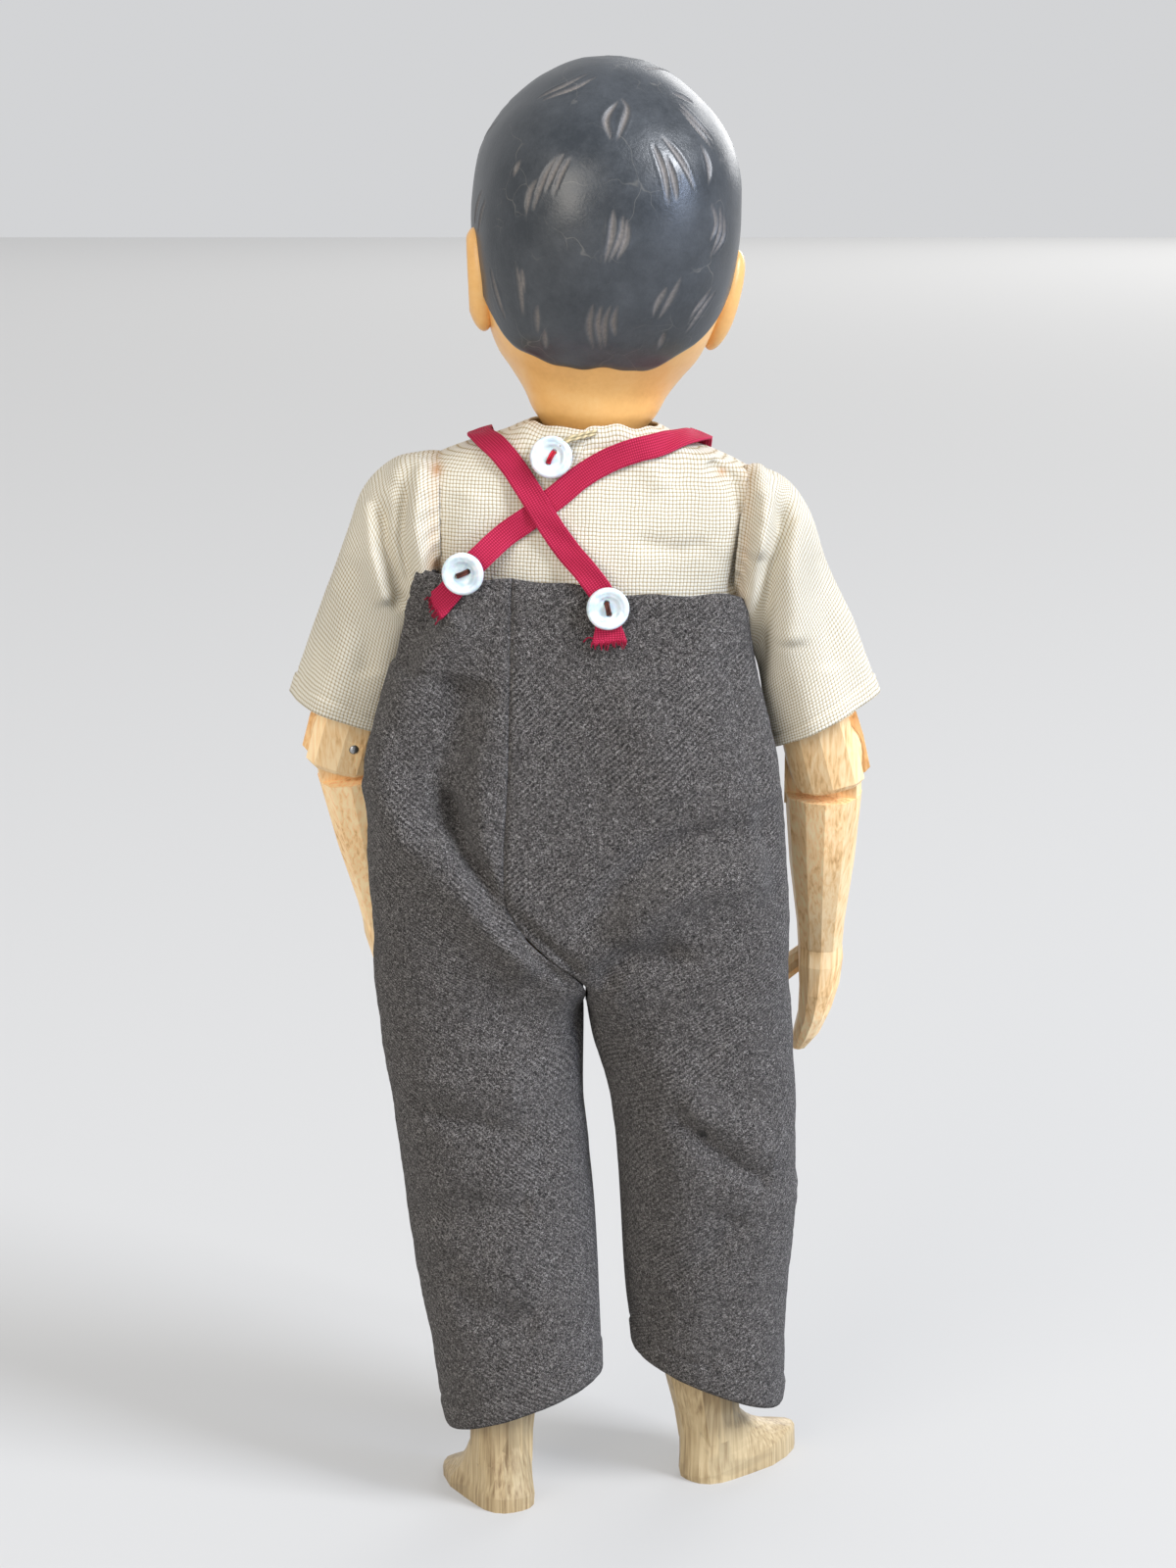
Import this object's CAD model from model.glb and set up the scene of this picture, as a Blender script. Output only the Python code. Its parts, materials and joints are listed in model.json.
"""A jointed wooden doll in cloth clothes, seen from behind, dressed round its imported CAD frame.

Sizes are drawn in millimetres, in the doll's own frames: upright from the middle of its hips, its
leaning trunk, and its head. They are turned to metres as each mesh is made. The doll faces -Y.
"""

import json
import logging
import math
from collections.abc import Iterable, Iterator, Sequence
from contextlib import contextmanager
from dataclasses import dataclass, field
from enum import Enum

import bmesh
import bpy
import numpy as np
from mathutils import Matrix, Vector, noise

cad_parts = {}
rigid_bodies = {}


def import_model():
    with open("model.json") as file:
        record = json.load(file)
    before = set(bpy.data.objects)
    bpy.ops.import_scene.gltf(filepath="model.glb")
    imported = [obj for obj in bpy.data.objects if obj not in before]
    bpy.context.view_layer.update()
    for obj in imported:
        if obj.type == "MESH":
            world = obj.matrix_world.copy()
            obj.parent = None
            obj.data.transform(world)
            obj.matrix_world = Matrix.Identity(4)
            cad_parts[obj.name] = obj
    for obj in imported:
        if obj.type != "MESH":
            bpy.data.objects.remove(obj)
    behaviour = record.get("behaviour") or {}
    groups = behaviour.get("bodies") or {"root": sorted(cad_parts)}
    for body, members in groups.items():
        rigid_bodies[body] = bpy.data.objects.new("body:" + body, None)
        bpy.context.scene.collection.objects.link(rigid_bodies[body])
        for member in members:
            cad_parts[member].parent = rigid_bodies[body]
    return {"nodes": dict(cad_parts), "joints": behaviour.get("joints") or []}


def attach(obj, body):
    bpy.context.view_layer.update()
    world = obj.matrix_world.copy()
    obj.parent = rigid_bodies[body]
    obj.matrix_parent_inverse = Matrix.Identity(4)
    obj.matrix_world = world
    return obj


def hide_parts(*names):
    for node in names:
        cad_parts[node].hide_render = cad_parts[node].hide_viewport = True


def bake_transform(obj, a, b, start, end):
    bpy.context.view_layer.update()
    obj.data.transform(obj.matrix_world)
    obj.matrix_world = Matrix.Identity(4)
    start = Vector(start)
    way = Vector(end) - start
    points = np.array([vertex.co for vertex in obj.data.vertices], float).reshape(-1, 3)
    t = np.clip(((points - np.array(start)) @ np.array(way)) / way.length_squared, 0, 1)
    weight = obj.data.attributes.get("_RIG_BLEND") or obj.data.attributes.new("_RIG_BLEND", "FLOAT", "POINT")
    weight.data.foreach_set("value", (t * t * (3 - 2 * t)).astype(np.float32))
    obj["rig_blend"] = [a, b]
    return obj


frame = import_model()

MM = 0.001
LOG = logging.getLogger("doll")

Array = np.ndarray
Piece = bpy.types.Object
Material = bpy.types.Material
Tree = bpy.types.NodeTree
Node = bpy.types.Node
Socket = bpy.types.NodeSocket
Table = Sequence[tuple[float, float]]
Path = Sequence[tuple[float, float]]


class Side(Enum):
    """The doll's own left and right; the value is the sign of x there."""

    LEFT = 1
    RIGHT = -1

    @property
    def word(self) -> str:
        """The word that names of nodes and bodies end in."""
        return self.name.lower()


# The doll's frames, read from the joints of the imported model
JOINTS = {joint["name"]: joint for joint in frame["joints"]}
HIPS = [Vector(JOINTS[f"leg_swing_{side.word}"]["pos_m"]) / MM for side in Side]
PELVIS = (HIPS[0] + HIPS[1]) / 2
TRUNK_LEAN = math.radians(2.2)
HEAD_LEAN = math.radians(-1)
HEAD_TURN = math.radians(7)
NECK_HEIGHT = 119.5
SHOULDER_HEIGHT = 103.0
UPRIGHT = Matrix.Translation(PELVIS)
TRUNK = UPRIGHT @ Matrix.Rotation(-TRUNK_LEAN, 4, "Y")
HEAD = (
    TRUNK
    @ Matrix.Translation((0, 0, NECK_HEIGHT))
    @ Matrix.Rotation(HEAD_LEAN, 4, "Y")
    @ Matrix.Rotation(HEAD_TURN, 4, "Z")
)


# Small tools for numbers, meshes and materials
def reading(table: Table, places: Array) -> Array:
    """Reads a short table of (place, value) pairs smoothly.

    Args:
        table: pairs in rising order of place.
        places: where to read it; beyond the ends the end values hold.

    Returns:
        The values there, in the shape of places.
    """
    keys = np.array([row[0] for row in table], float)
    values = np.array([row[1] for row in table], float)
    slopes = np.empty(len(keys))
    slopes[1:-1] = (values[2:] - values[:-2]) / (keys[2:] - keys[:-2])
    slopes[0] = (values[1] - values[0]) / (keys[1] - keys[0])
    slopes[-1] = (values[-1] - values[-2]) / (keys[-1] - keys[-2])
    at = np.clip(np.asarray(places, float), keys[0], keys[-1])
    i = np.clip(np.searchsorted(keys, at, side="left") - 1, 0, len(keys) - 2)
    span = keys[i + 1] - keys[i]
    t = (at - keys[i]) / span
    rise = values[i] + (values[i + 1] - values[i]) * t * t * (3 - 2 * t)
    return rise + span * (slopes[i] * t * (1 - t) ** 2 - slopes[i + 1] * t * t * (1 - t))


def column(rows: Sequence[Sequence[float]], which: int, places: Array) -> Array:
    """Reads one column of a longer table, whose first column is the place."""
    return reading([(row[0], row[which]) for row in rows], places)


def oval_row(rows: Sequence[Sequence[float]], z: Array) -> tuple[Array, ...]:
    """Middle across and along, half width, front and back of a tube of cloth at heights."""
    return tuple(column(rows, k, z) for k in range(1, 6))


def ease(t: Array | float) -> Array:
    """Rises smoothly from 0 to 1 while t does."""
    s = np.clip(t, 0, 1)
    return s * s * (3 - 2 * s)


def bump(distance: Array, width: float) -> Array:
    """A soft hump, 1 at no distance, that has died away at twice width."""
    return np.exp(-((distance / width) ** 2))


def mix(a: Array | float, b: Array | float, t: Array | float) -> Array:
    """a at t = 0, b at t = 1."""
    return a + (b - a) * t


def oval(angles: Array, half: Array, front: Array, back: Array, power: float) -> tuple[Array, Array]:
    """A rounded oval read at angles, with its front towards -y.

    Args:
        angles: in radians, 0 at +x.
        half: half width in x.
        front: reach towards -y.
        back: reach towards +y.
        power: 2 for an ellipse, more for squarer sides.

    Returns:
        The x and the y of each point.
    """
    c, s = np.cos(angles), np.sin(angles)
    reach = (np.abs(c) ** power + np.abs(s) ** power) ** (-1 / power)
    return c * reach * half, s * reach * np.where(s < 0, front, back)


def ruffle(points: Array, size: float, seed: float) -> Array:
    """Smooth random numbers from -1 to 1 at points, in lumps of about size."""
    flat = points.reshape(-1, 3) / size + seed
    return np.array([noise.noise(Vector(p)) for p in flat]).reshape(points.shape[:-1])


def along_path(x: Array, z: Array, path: Path) -> tuple[Array, Array]:
    """How far points lie from a bent line, and where along it.

    Args:
        x: across.
        z: up.
        path: the line's corners.

    Returns:
        The distance, and the share of the line's length at the nearest place.
    """
    corners = np.array(path, float)
    runs = np.diff(corners, axis=0)
    lengths = np.hypot(*runs.T)
    best, share = np.full(x.shape, 1e9), np.zeros(x.shape)
    for i, (start, run, length) in enumerate(zip(corners, runs, lengths)):
        t = np.clip(((x - start[0]) * run[0] + (z - start[1]) * run[1]) / length**2, 0, 1)
        away = np.hypot(x - start[0] - run[0] * t, z - start[1] - run[1] * t)
        nearer = away < best
        best = np.where(nearer, away, best)
        share = np.where(nearer, (lengths[:i].sum() + t * length) / lengths.sum(), share)
    return best, share


def bent_line(points: Iterable[Sequence[float]], steps: int) -> Array:
    """A smooth line through points, as steps + 1 evenly spaced places.

    Args:
        points: what the line goes through.
        steps: into how many even steps it is cut.

    Returns:
        The steps + 1 places.
    """
    given = np.array(list(points), float)
    ends = [2 * given[0] - given[1], *given, 2 * given[-1] - given[-2]]
    fine = []
    for a, b, c, d in zip(ends, ends[1:], ends[2:], ends[3:]):
        for t in np.linspace(0, 1, 12, endpoint=False):
            fine.append(
                0.5 * (2 * b + (c - a) * t + (2 * a - 5 * b + 4 * c - d) * t**2 + (3 * b - a - 3 * c + d) * t**3)
            )
    line = np.array([*fine, given[-1]])
    far = np.concatenate([[0], np.cumsum(np.linalg.norm(np.diff(line, axis=0), axis=1))])
    even = np.linspace(0, far[-1], steps + 1)
    return np.stack([np.interp(even, far, column) for column in line.T], axis=1)


def placed(points: Array, where: Matrix) -> Array:
    """Points of one of the doll's frames in millimetres, as places in the row frame in metres."""
    turn = np.array(where, float)
    return (points.reshape(-1, 3) @ turn[:3, :3].T + turn[:3, 3]).reshape(points.shape) * MM


def spans(grid: Array, axis: int) -> Array:
    """Running length along one axis of a grid of points, starting at 0.

    Args:
        grid: rows, columns and x, y, z.
        axis: 0 down the rows, 1 along the columns.

    Returns:
        The length at each point.
    """
    steps = np.linalg.norm(np.diff(grid, axis=axis), axis=-1)
    pad = [(0, 0), (0, 0)]
    pad[axis] = (1, 0)
    return np.pad(np.cumsum(steps, axis=axis), pad)


def from_ends(grid: Array) -> Array:
    """Length along each row to the nearer of its two ends."""
    return np.minimum(spans(grid, 1), spans(grid[:, ::-1], 1)[:, ::-1])


def unit(vectors: Array, least: float = 0.0) -> Array:
    """Vectors cut to length 1; least keeps those without a length from dividing by 0."""
    return vectors / (np.linalg.norm(vectors, axis=-1)[..., None] + least)


def round_angles(count: int) -> Array:
    """One row of count even angles round a ring, in radians."""
    return np.linspace(0, 2 * math.pi, count, endpoint=False)[None, :]


def outwards(grid: Array, turn: float) -> Array:
    """Level directions out of a grid of rows.

    Args:
        grid: rows, columns and x, y, z.
        turn: 1 where the columns run clockwise, else -1.

    Returns:
        A level unit vector at each point.
    """
    along = np.gradient(grid, axis=1)
    out = np.stack([-along[..., 1], along[..., 0], 0 * along[..., 0]], axis=-1) * turn
    return unit(out, 1e-9)


def new_object(name: str, vertices: Array, faces: Sequence[Sequence[int]]) -> Piece:
    """Links a new smooth mesh object.

    Args:
        name: of the piece.
        vertices: their places in metres.
        faces: the vertices of each face.

    Returns:
        The new object.
    """
    mesh = bpy.data.meshes.new(name)
    mesh.from_pydata(vertices.tolist(), [], faces)
    mesh.polygons.foreach_set("use_smooth", [True] * len(mesh.polygons))
    made = bpy.data.objects.new(name, mesh)
    bpy.context.scene.collection.objects.link(made)
    return made


def woven_grid(name: str, grid: Array, where: Matrix, closed: bool, keep: Array | None = None,
               panels: Sequence[tuple[int, int]] = ((0, 0),)) -> Piece:
    """Makes a sheet from rows of points, with a map of its threads in metres.

    Args:
        name: of the piece.
        grid: rows, columns and x, y, z in millimetres.
        where: the frame that the points are in.
        closed: whether each row runs round and meets itself.
        keep: which of the grid's cells to make, or None for all.
        panels: the first column of each panel of cloth, and the column where its threads stand straight.

    Returns:
        The piece, whose map named weave has x along the rows and y along the columns.
    """
    rows, columns = grid.shape[:2]
    ring = np.concatenate([grid, grid[:, :1]], axis=1) if closed else grid
    across, down = spans(ring, 1), spans(ring, 0)
    flats = [
        np.stack([across - across[:, c : c + 1], down[:, c : c + 1] + 0 * across], axis=-1) * MM for _, c in panels
    ]
    faces, corners = [], []
    for r in range(rows - 1):
        for c in range(ring.shape[1] - 1):
            if keep is not None and not keep[r, c]:
                continue
            d = (c + 1) % columns
            flat = flats[sum(c >= first for first, _ in panels) - 1]
            faces.append((r * columns + c, r * columns + d, (r + 1) * columns + d, (r + 1) * columns + c))
            corners += [flat[r, c], flat[r, c + 1], flat[r + 1, c + 1], flat[r + 1, c]]
    made = new_object(name, placed(grid, where).reshape(-1, 3), faces)
    layer = made.data.uv_layers.new(name="weave")
    layer.uv.foreach_set("vector", np.array(corners, np.float32).ravel())
    return made


@contextmanager
def opened(piece: Piece) -> Iterator[bmesh.types.BMesh]:
    """Opens a piece's mesh for edits and writes them back.

    Args:
        piece: whose mesh it is.

    Yields:
        The mesh, with its vertices ready to be looked up.
    """
    shape = bmesh.new()
    shape.from_mesh(piece.data)
    shape.verts.ensure_lookup_table()
    yield shape
    shape.to_mesh(piece.data)
    shape.free()


def cut_through(piece: Piece, point: Sequence[float], normal: Sequence[float], where: Matrix) -> None:
    """Cuts away what lies beyond a plane.

    Args:
        piece: what is cut.
        point: a place on the plane, in millimetres.
        normal: the side that is cut away.
        where: the frame of both.
    """
    at = where @ Vector(point) * MM
    facing = where.to_3x3() @ Vector(normal)
    with opened(piece) as shape:
        parts = shape.verts[:] + shape.edges[:] + shape.faces[:]
        bmesh.ops.bisect_plane(shape, geom=parts, plane_co=at, plane_no=facing, clear_outer=True)
        loose = [v for v in shape.verts if not v.link_faces]
        bmesh.ops.delete(shape, geom=loose, context="VERTS")


def face_outwards(piece: Piece, middle: Vector) -> None:
    """Turns all faces over if more of them look towards middle than away from it.

    Args:
        piece: whose faces they are.
        middle: a place inside it, in metres.
    """
    mesh = piece.data
    score = sum(p.normal.dot((p.center - middle).normalized()) * p.area for p in mesh.polygons)
    if score < 0:
        mesh.flip_normals()


def thicken(piece: Piece, thickness: float) -> None:
    """Gives a sheet its thickness, inwards from the outer face.

    Args:
        piece: the sheet.
        thickness: in millimetres.
    """
    made = piece.modifiers.new("thickness", "SOLIDIFY")
    made.thickness = thickness * MM
    made.offset = -1


def cord_mesh(name: str, lines: Sequence[Array], radius: float, sides: int, where: Matrix) -> Piece:
    """Makes round threads along lines.

    Args:
        name: of the piece.
        lines: one array of points in millimetres for each thread.
        radius: of every thread, in millimetres.
        sides: faces round each thread.
        where: the frame of the points.

    Returns:
        One piece with all the threads, their ends closed.
    """
    vertices, faces = [], []
    for line in lines:
        run = unit(np.gradient(line, axis=0))
        hint = np.where(np.abs(run[:, 1:2]) < 0.8, [[0.0, 1.0, 0.0]], [[0.0, 0.0, 1.0]])
        side = unit(np.cross(hint, run))
        rear = np.cross(run, side)
        base = len(vertices)
        for p, a, b in zip(line, side, rear):
            for k in range(sides):
                turn = 2 * math.pi * k / sides
                vertices.append(p + radius * (a * math.cos(turn) + b * math.sin(turn)))
        for r in range(len(line) - 1):
            for k in range(sides):
                j = (k + 1) % sides
                low, high = base + r * sides, base + (r + 1) * sides
                faces.append((low + k, low + j, high + j, high + k))
        faces.append(tuple(range(base + sides - 1, base - 1, -1)))
        top = base + (len(line) - 1) * sides
        faces.append(tuple(range(top, top + sides)))
    return new_object(name, placed(np.array(vertices), where), faces)


def store(piece: Piece, name: str, values: Array) -> None:
    """Keeps one number for each vertex under a name that a material reads."""
    piece.data.attributes.new(name, "FLOAT", "POINT").data.foreach_set("value", values.astype(np.float32).ravel())


def per(size: float) -> float:
    """Scale of a texture whose pattern is size millimetres wide."""
    return 1 / (size * MM)


def srgb(code: str) -> tuple[float, float, float, float]:
    """Turns an sRGB hex colour to the linear red, green, blue and alpha that Blender takes."""
    parts = [int(code[i : i + 2], 16) / 255 for i in (1, 3, 5)]
    return (*[p / 12.92 if p <= 0.04045 else ((p + 0.055) / 1.055) ** 2.4 for p in parts], 1.0)


def give(socket: Socket, value: object) -> None:
    """Sets a socket, or links it to another one or to a node's first output.

    Args:
        socket: the input that is set.
        value: a number, colour or vector, or else a socket or node that it is linked to.
    """
    source = value.outputs[0] if isinstance(value, Node) else value
    if isinstance(source, Socket):
        socket.id_data.links.new(source, socket)
    else:
        socket.default_value = source


def node(tree: Tree, kind: str, inputs: dict[str | int, object] | None = None, **settings: object) -> Node:
    """Adds a shader node with its settings and links.

    Args:
        tree: the material's nodes.
        kind: the node's type without the word ShaderNode.
        inputs: for each socket, its value or the output or node that it is linked to.
        **settings: the node's own options; stops gives a colour ramp's places and hex colours.

    Returns:
        The node.
    """
    made = tree.nodes.new("ShaderNode" + kind)
    for name, value in settings.items():
        if name != "stops":
            setattr(made, name, value)
            continue
        while len(made.color_ramp.elements) < len(value):
            made.color_ramp.elements.new(0.5)
        for element, (place, code) in zip(made.color_ramp.elements, value):
            element.position = place
            element.color = srgb(code)
    for socket, value in (inputs or {}).items():
        give(made.inputs[socket], value)
    return made


# Finishes, each named for its material and how its surface was made
@dataclass(frozen=True)
class Finish:
    """One material. A finish adds its nodes to the shader in paint()."""

    name: str

    def build(self) -> Material:
        """Makes the material.

        Returns:
            A material whose surface is one Principled shader.
        """
        made = bpy.data.materials.new(self.name)
        made.use_nodes = True
        tree = made.node_tree
        tree.nodes.clear()
        shader = node(tree, "BsdfPrincipled")
        node(tree, "OutputMaterial", {"Surface": shader})
        self.paint(tree, shader)
        return made

    def paint(self, tree: Tree, shader: Node) -> None:
        """Adds the nodes of this finish.

        Args:
            tree: the material's nodes.
            shader: its Principled shader.
        """
        raise NotImplementedError

    def set(self, shader: Node, **values: object) -> None:
        """Sets or links sockets of the shader; an underscore stands for a space in their names."""
        for name, value in values.items():
            give(shader.inputs[name.replace("_", " ")], value)


@dataclass(frozen=True)
class CarvedLinden(Finish):
    """Linden wood cut with a knife and waxed: fine straight grain, small flats, darker in the hollows."""

    pale: str = "#f9dcae"
    middle: str = "#efc892"
    dark: str = "#c89963"
    grain_mm: float = 0.8

    def paint(self, tree: Tree, shader: Node) -> None:
        """Adds the grain, the knife marks and the wax.

        Args:
            tree: the material's nodes.
            shader: its Principled shader.
        """
        place = node(tree, "TexCoord").outputs["Object"]
        fine = per(self.grain_mm)
        # Grain runs along the limb, thirty times as long as it is wide
        grain_place = node(tree, "Mapping", {0: place, "Scale": (fine, fine, fine / 30)})
        grain = node(tree, "TexNoise", {"Vector": grain_place, "Scale": 1.0, "Detail": 4.0, "Distortion": 0.4})
        broad = node(tree, "TexNoise", {"Vector": place, "Scale": per(14), "Detail": 2.0})
        both = node(tree, "Math", {0: grain, 1: 0.62}, operation="MULTIPLY")
        both = node(tree, "Math", {0: broad, 1: 0.38, 2: both}, operation="MULTIPLY_ADD")
        colour = node(tree, "ValToRGB", {0: both}, stops=((0.33, self.dark), (0.47, self.middle), (0.6, self.pale)))
        # Edges of the cuts are rubbed pale, and wax darkens the hollows
        worn = node(tree, "NewGeometry").outputs["Pointiness"]
        edge = node(
            tree, "MapRange", {"Value": worn, "From Min": 0.46, "From Max": 0.55, "To Min": 0.72, "To Max": 1.15}
        )
        colour = node(tree, "Mix", {0: 1.0, 6: colour, 7: edge}, data_type="RGBA", blend_type="MULTIPLY").outputs[2]
        marks = node(tree, "TexVoronoi", {"Vector": place, "Scale": per(6)}, feature="SMOOTH_F1")
        height = node(tree, "Math", {0: grain, 1: 0.25, 2: marks}, operation="MULTIPLY_ADD")
        relief = node(tree, "Bump", {"Height": height, "Strength": 0.35, "Distance": 0.4 * MM})
        self.set(shader, Base_Color=colour, Normal=relief, Roughness=0.46, IOR=1.5, Specular_IOR_Level=0.4)


@dataclass(frozen=True)
class VarnishedSkin(Finish):
    """Smooth carved linden, stained and varnished: warm orange tan with a soft shine."""

    base: str = "#f0ba70"
    deep: str = "#dfa75f"

    def paint(self, tree: Tree, shader: Node) -> None:
        """Adds mottled stain, the painted features and the varnish.

        Args:
            tree: the material's nodes.
            shader: its Principled shader.
        """
        place = node(tree, "TexCoord").outputs["Object"]
        fine = node(tree, "TexNoise", {"Vector": place, "Scale": per(1.2), "Detail": 5.0, "Roughness": 0.65})
        broad = node(tree, "TexNoise", {"Vector": place, "Scale": per(16), "Detail": 2.0})
        both = node(tree, "Math", {0: fine, 1: 0.35, 2: broad}, operation="MULTIPLY_ADD")
        colour = node(tree, "MapRange", {"Value": both, "From Min": 0.4, "From Max": 0.95})
        colour = node(tree, "ValToRGB", {0: colour}, stops=((0.0, self.deep), (0.5, self.base), (1.0, "#f5c987")))
        for mask, code in (("lips", "#b5563c"), ("eye_white", "#efe6d6"), ("dark_line", "#3a2418")):
            amount = node(tree, "Attribute", attribute_name=mask).outputs["Fac"]
            colour = node(tree, "Mix", {0: amount, 6: colour, 7: srgb(code)}, data_type="RGBA").outputs[2]
        relief = node(tree, "Bump", {"Height": fine, "Strength": 0.12, "Distance": 0.3 * MM})
        self.set(shader, Base_Color=colour, Normal=relief, Roughness=0.4, IOR=1.5, Coat_Weight=0.25, Coat_Roughness=0.3)


@dataclass(frozen=True)
class BlackEnamelHair(Finish):
    """Black oil enamel over carved wood: glossy, rubbed brown-grey in the gouge cuts and dusty patches."""

    black: str = "#1f262d"
    rubbed: str = "#77716d"

    def paint(self, tree: Tree, shader: Node) -> None:
        """Adds the enamel, the worn cuts, dust and hairline scratches.

        Args:
            tree: the material's nodes.
            shader: its Principled shader.
        """
        place = node(tree, "TexCoord").outputs["Object"]
        patch = node(tree, "TexNoise", {"Vector": place, "Scale": per(30), "Detail": 7.0, "Roughness": 0.82})
        dust = node(tree, "MapRange", {"Value": patch, "From Min": 0.42, "From Max": 0.75, "To Max": 0.3})
        colour = node(tree, "Mix", {0: dust, 6: srgb(self.black), 7: srgb("#71757b")}, data_type="RGBA").outputs[2]
        cut = node(tree, "Attribute", attribute_name="gouge").outputs["Fac"]
        grit = node(tree, "TexNoise", {"Vector": place, "Scale": per(0.7), "Detail": 4.0})
        broken = node(tree, "MapRange", {"Value": grit, "From Min": 0.3, "From Max": 0.6, "To Min": 0.6})
        worn = node(tree, "Math", {0: cut, 1: broken}, operation="MULTIPLY")
        # Hairline scratches: the edges of warped cells, seen only in patches
        warp = node(tree, "TexNoise", {"Vector": place, "Scale": per(12), "Detail": 2.0}).outputs["Color"]
        warped = node(tree, "VectorMath", {0: warp, 1: (0.016, 0.016, 0.016), 2: place}, operation="MULTIPLY_ADD")
        cell = node(tree, "TexVoronoi", {"Vector": warped, "Scale": per(13)}, feature="DISTANCE_TO_EDGE")
        hairline = node(tree, "MapRange", {"Value": cell, "From Max": 0.012, "To Min": 1.0, "To Max": 0.0})
        shown = node(tree, "MapRange", {"Value": warp, "From Min": 0.5, "From Max": 0.6, "To Max": 0.3})
        faint = node(tree, "Math", {0: hairline, 1: shown}, operation="MULTIPLY")
        colour = node(tree, "Mix", {0: faint, 6: colour, 7: srgb("#8d8981")}, data_type="RGBA").outputs[2]
        colour = node(tree, "Mix", {0: worn, 6: colour, 7: srgb(self.rubbed)}, data_type="RGBA").outputs[2]
        rough = node(tree, "MapRange", {"Value": patch, "From Min": 0.35, "From Max": 0.7,
                                        "To Min": 0.3, "To Max": 0.46})
        rough = node(tree, "Math", {0: cut, 1: 0.25, 2: rough}, operation="MULTIPLY_ADD")
        relief = node(tree, "Bump", {"Height": grit, "Strength": 0.16, "Distance": 0.3 * MM})
        self.set(shader, Base_Color=colour, Roughness=rough, Normal=relief, IOR=1.5, Specular_IOR_Level=0.8)


@dataclass(frozen=True)
class PlainLinen(Finish):
    """Coarse unbleached linen in plain weave: round cream threads with ochre shade between them."""

    thread: str = "#e4e0d4"
    gap: str = "#a18c66"
    # Real threads are a little finer, and are drawn this coarse to show
    pitch_mm: float = 0.86

    def paint(self, tree: Tree, shader: Node) -> None:
        """Adds threads over and under each other, slubs and a few rust spots.

        Args:
            tree: the material's nodes.
            shader: its Principled shader.
        """
        flat = node(tree, "UVMap", uv_map="weave")
        slub = node(tree, "TexNoise", {"Vector": flat, "Scale": per(5), "Detail": 2.0}).outputs["Color"]
        shift = node(tree, "VectorMath", {0: slub, 1: (0.0007, 0.0007, 0.0)}, operation="MULTIPLY")
        bent = node(tree, "VectorMath", {0: flat, 1: shift}, operation="ADD")
        turns = math.pi * per(self.pitch_mm)
        scaled = node(tree, "VectorMath", {0: bent, 1: (turns, turns, 1.0)}, operation="MULTIPLY")
        waves = node(tree, "VectorMath", {0: scaled}, operation="SINE")
        split = node(tree, "SeparateXYZ", {0: waves})
        product = node(tree, "Math", {0: split.outputs[0], 1: split.outputs[1]}, operation="MULTIPLY")
        size = node(tree, "Math", {0: product}, operation="ABSOLUTE")
        rounded = node(tree, "Math", {0: size, 1: 0.8}, operation="POWER")
        over = node(tree, "MapRange", {"Value": product, "From Min": -0.3, "From Max": 0.3, "To Min": 0.88})
        height = node(tree, "Math", {0: rounded, 1: over}, operation="MULTIPLY")
        colour = node(tree, "ValToRGB", {0: height}, stops=((0.04, self.gap), (0.26, "#d3cab3"), (0.6, self.thread)))
        place = node(tree, "TexCoord").outputs["Object"]
        tone = node(tree, "TexNoise", {"Vector": place, "Scale": per(30), "Detail": 3.0})
        tone = node(tree, "MapRange", {"Value": tone, "From Min": 0.3, "From Max": 0.7, "To Min": 0.86, "To Max": 1.06})
        colour = node(tree, "Mix", {0: 1.0, 6: colour, 7: tone}, data_type="RGBA", blend_type="MULTIPLY").outputs[2]
        stain = node(tree, "Attribute", attribute_name="stain").outputs["Fac"]
        colour = node(tree, "Mix", {0: stain, 6: colour, 7: srgb("#b5793a")}, data_type="RGBA").outputs[2]
        relief = node(tree, "Bump", {"Height": height, "Strength": 0.42, "Distance": 0.3 * MM})
        self.set(shader, Base_Color=colour, Normal=relief, Roughness=0.85, IOR=1.5, Specular_IOR_Level=0.2)


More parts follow.
